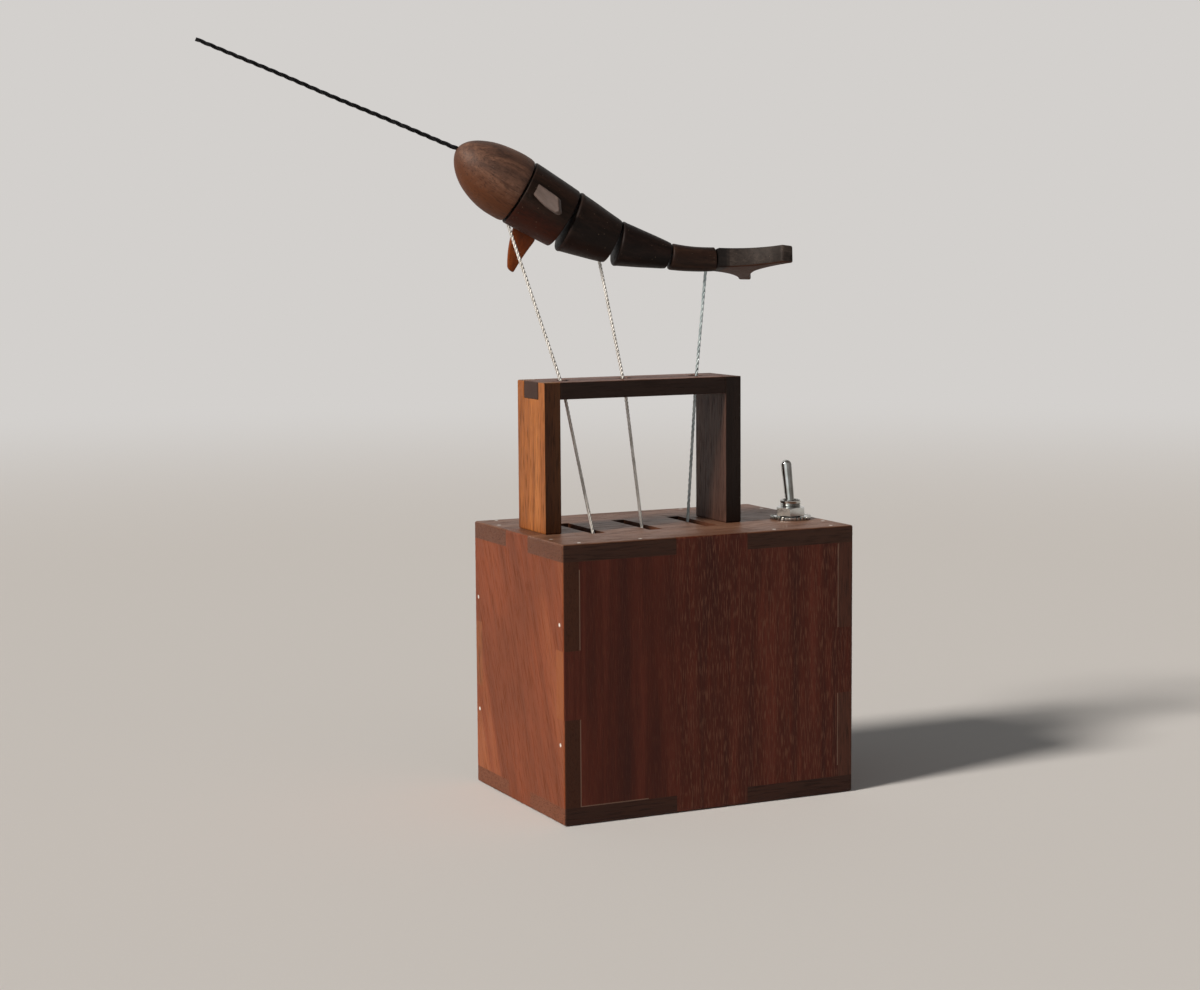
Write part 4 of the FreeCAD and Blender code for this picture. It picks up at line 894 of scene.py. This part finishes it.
def toggleLever():    # bat shaped lever: ball, slim neck, swelling to a rounded tip
    ball, neck, tip = lever["ball"] / 2, lever["neck"] / 2, lever["tip"] / 2
    length, thin, start, end = lever["length"], lever["tailRadius"], lever["neckFrom"], -ball - lever["tail"]
    profile = [(0.01, end), (thin, end), (thin, -ball * 0.9)]
    for k in range(1, 13):    # the ball, from 55 degrees below its middle to 44 above
        a = math.radians(-64 + k * 9)
        profile.append((ball * math.cos(a), ball * math.sin(a)))
    for k in range(1, 14):    # the taper
        profile.append((neck + (tip - neck) * k / 13, start + (length - tip - start) * k / 13))
    for k in range(1, 13):    # the rounded tip
        a = quarterTurn * k / 12
        profile.append((max(0.01, tip * math.cos(a)), length - tip + tip * math.sin(a)))
    bm = bmesh.new()
    revolve(bm, profile, 48)
    place = switchPlace @ Matrix.Translation((0, 0, (bushingTop - switch["pivotDrop"]) * mm))
    place = place @ Matrix.Rotation(math.radians(-switch["lean"]), 4, "X")
    platedPiece("switch_lever", "bat", bm, 40, 0.02 * mm, place, "switch_lever")


switchBushing()
lockWasher()
hexNut()
toggleLever()
print("switch built")


# ---- stage, camera and lamps
stage = dict(floor="#dddcdb", fleck="#dfdedd", back="#d3d0cd", radius=6.0, below=0.0002, fadeFrom=0.5,
             fadeTo=1.6)


def paperFloor():
    # matt paper sweep: near the object it takes its shadow, far off it is as pale as the backdrop
    material, tree, shader = newMaterial("matt paper sweep")
    where = addNode(tree, "NewGeometry").outputs["Position"]
    reach = addNode(tree, "VectorMath", {"operation": "LENGTH"}, {0: where}).outputs["Value"]
    paper = blendColour(tree, noiseAt(tree, where, 0.8), stage["floor"], stage["fleck"])
    feed(tree, shader, {"Base Color": paper, "Roughness": 0.9, "Specular IOR Level": 0.1})
    glow = addNode(tree, "Emission", None, {"Color": stage["back"]}).outputs[0]
    mixed = addNode(tree, "MixShader", None, {0: smoothRange(tree, reach, stage["fadeFrom"], stage["fadeTo"]),
                                              1: shader.outputs[0], 2: glow}).outputs[0]
    feed(tree, tree.nodes["Material Output"], {"Surface": mixed})
    bm = bmesh.new()
    bmesh.ops.create_circle(bm, cap_ends=True, segments=96, radius=stage["radius"])
    floor = meshPiece("floor", bm, Matrix.Translation((0, 0, -stage["below"])))
    floor.data.materials.append(material)


def paleRoom():
    world = bpy.data.worlds.new("pale studio")
    bpy.context.scene.world = world
    world.use_nodes = True
    tree = world.node_tree
    tree.nodes.clear()

    def light(colour, strength=1.0):
        return addNode(tree, "Background", None, {"Color": colour, "Strength": strength}).outputs[0]

    # what bright metal reflects: a tall window to the left of a dim room, and the pale wall behind
    aim = coordinates(tree, "Generated")
    across = compute(tree, "MULTIPLY_ADD", component(tree, aim, "X"), 0.5, 0.5)
    room = ramp(tree, across, [(0.0, "#8f8a86"), (0.07, "#ffffff"), (0.24, "#e9f0f0"), (0.36, "#8b8682"),
                               (0.6, "#4f4946"), (1.0, "#7d7773")])
    behind = smoothRange(tree, component(tree, aim, "Y"), 0.1, 0.6)
    room = blendColour(tree, behind, room, stage["back"])
    # the camera sees a flat backdrop, and every other surface gets a low fill light
    rays = addNode(tree, "LightPath").outputs
    seen = compute(tree, "MAXIMUM", rays["Is Camera Ray"], rays["Is Transmission Ray"])
    mixed = light("#ebe9e6", 0.16)
    for ray, shown in ((rays["Is Glossy Ray"], light(room)), (seen, light(stage["back"]))):
        mixed = addNode(tree, "MixShader", None, {0: ray, 1: mixed, 2: shown}).outputs[0]
    addNode(tree, "OutputWorld", None, {"Surface": mixed})


lamps = {    # kind, place in metres, size or angle, strength, colour
    "window": ("SUN", (-0.8, -0.13, 0.66), 12.0, 3.3, "#fff6ec"),
    "bounce": ("AREA", (0.35, -1.2, 0.7), 1.2, 0.6, "#f4f3f2"),
}
lampsAim = (0, 0, 0.09)


def placeLamps():
    for name, (kind, spot, size, strength, colour) in lamps.items():
        lamp = bpy.data.lights.new(name, kind)
        lamp.energy = strength
        lamp.color = linear(colour)[:3]
        if kind == "SUN":
            lamp.angle = math.radians(size)
        else:
            lamp.shape, lamp.size = "DISK", size
        holder = addObject(name, lamp)
        holder.location = spot
        aim = Vector(lampsAim) - Vector(spot)
        holder.rotation_euler = aim.to_track_quat("-Z", "Y").to_euler()


view = dict(place=(-306.67, -599.65, 159.63), yaw=25.584, pitch=6.308, roll=-0.403, lens=70.76, sensor=36.0)


def placeCamera():
    data = bpy.data.cameras.new("camera")
    data.lens, data.sensor_width = view["lens"], view["sensor"]
    data.clip_start, data.clip_end = 0.01, 50
    place = Matrix.Translation(Vector(view["place"]) * mm)
    for angle, axis in ((-view["yaw"], "Z"), (90 - view["pitch"], "X"), (view["roll"], "Z")):
        place = place @ Matrix.Rotation(math.radians(angle), 4, axis)
    camera = addObject("camera", data)
    camera.matrix_world = place
    bpy.context.scene.camera = camera


paperFloor()
paleRoom()
placeLamps()
placeCamera()
bpy.context.scene.view_settings.view_transform = "Standard"
print("stage set")
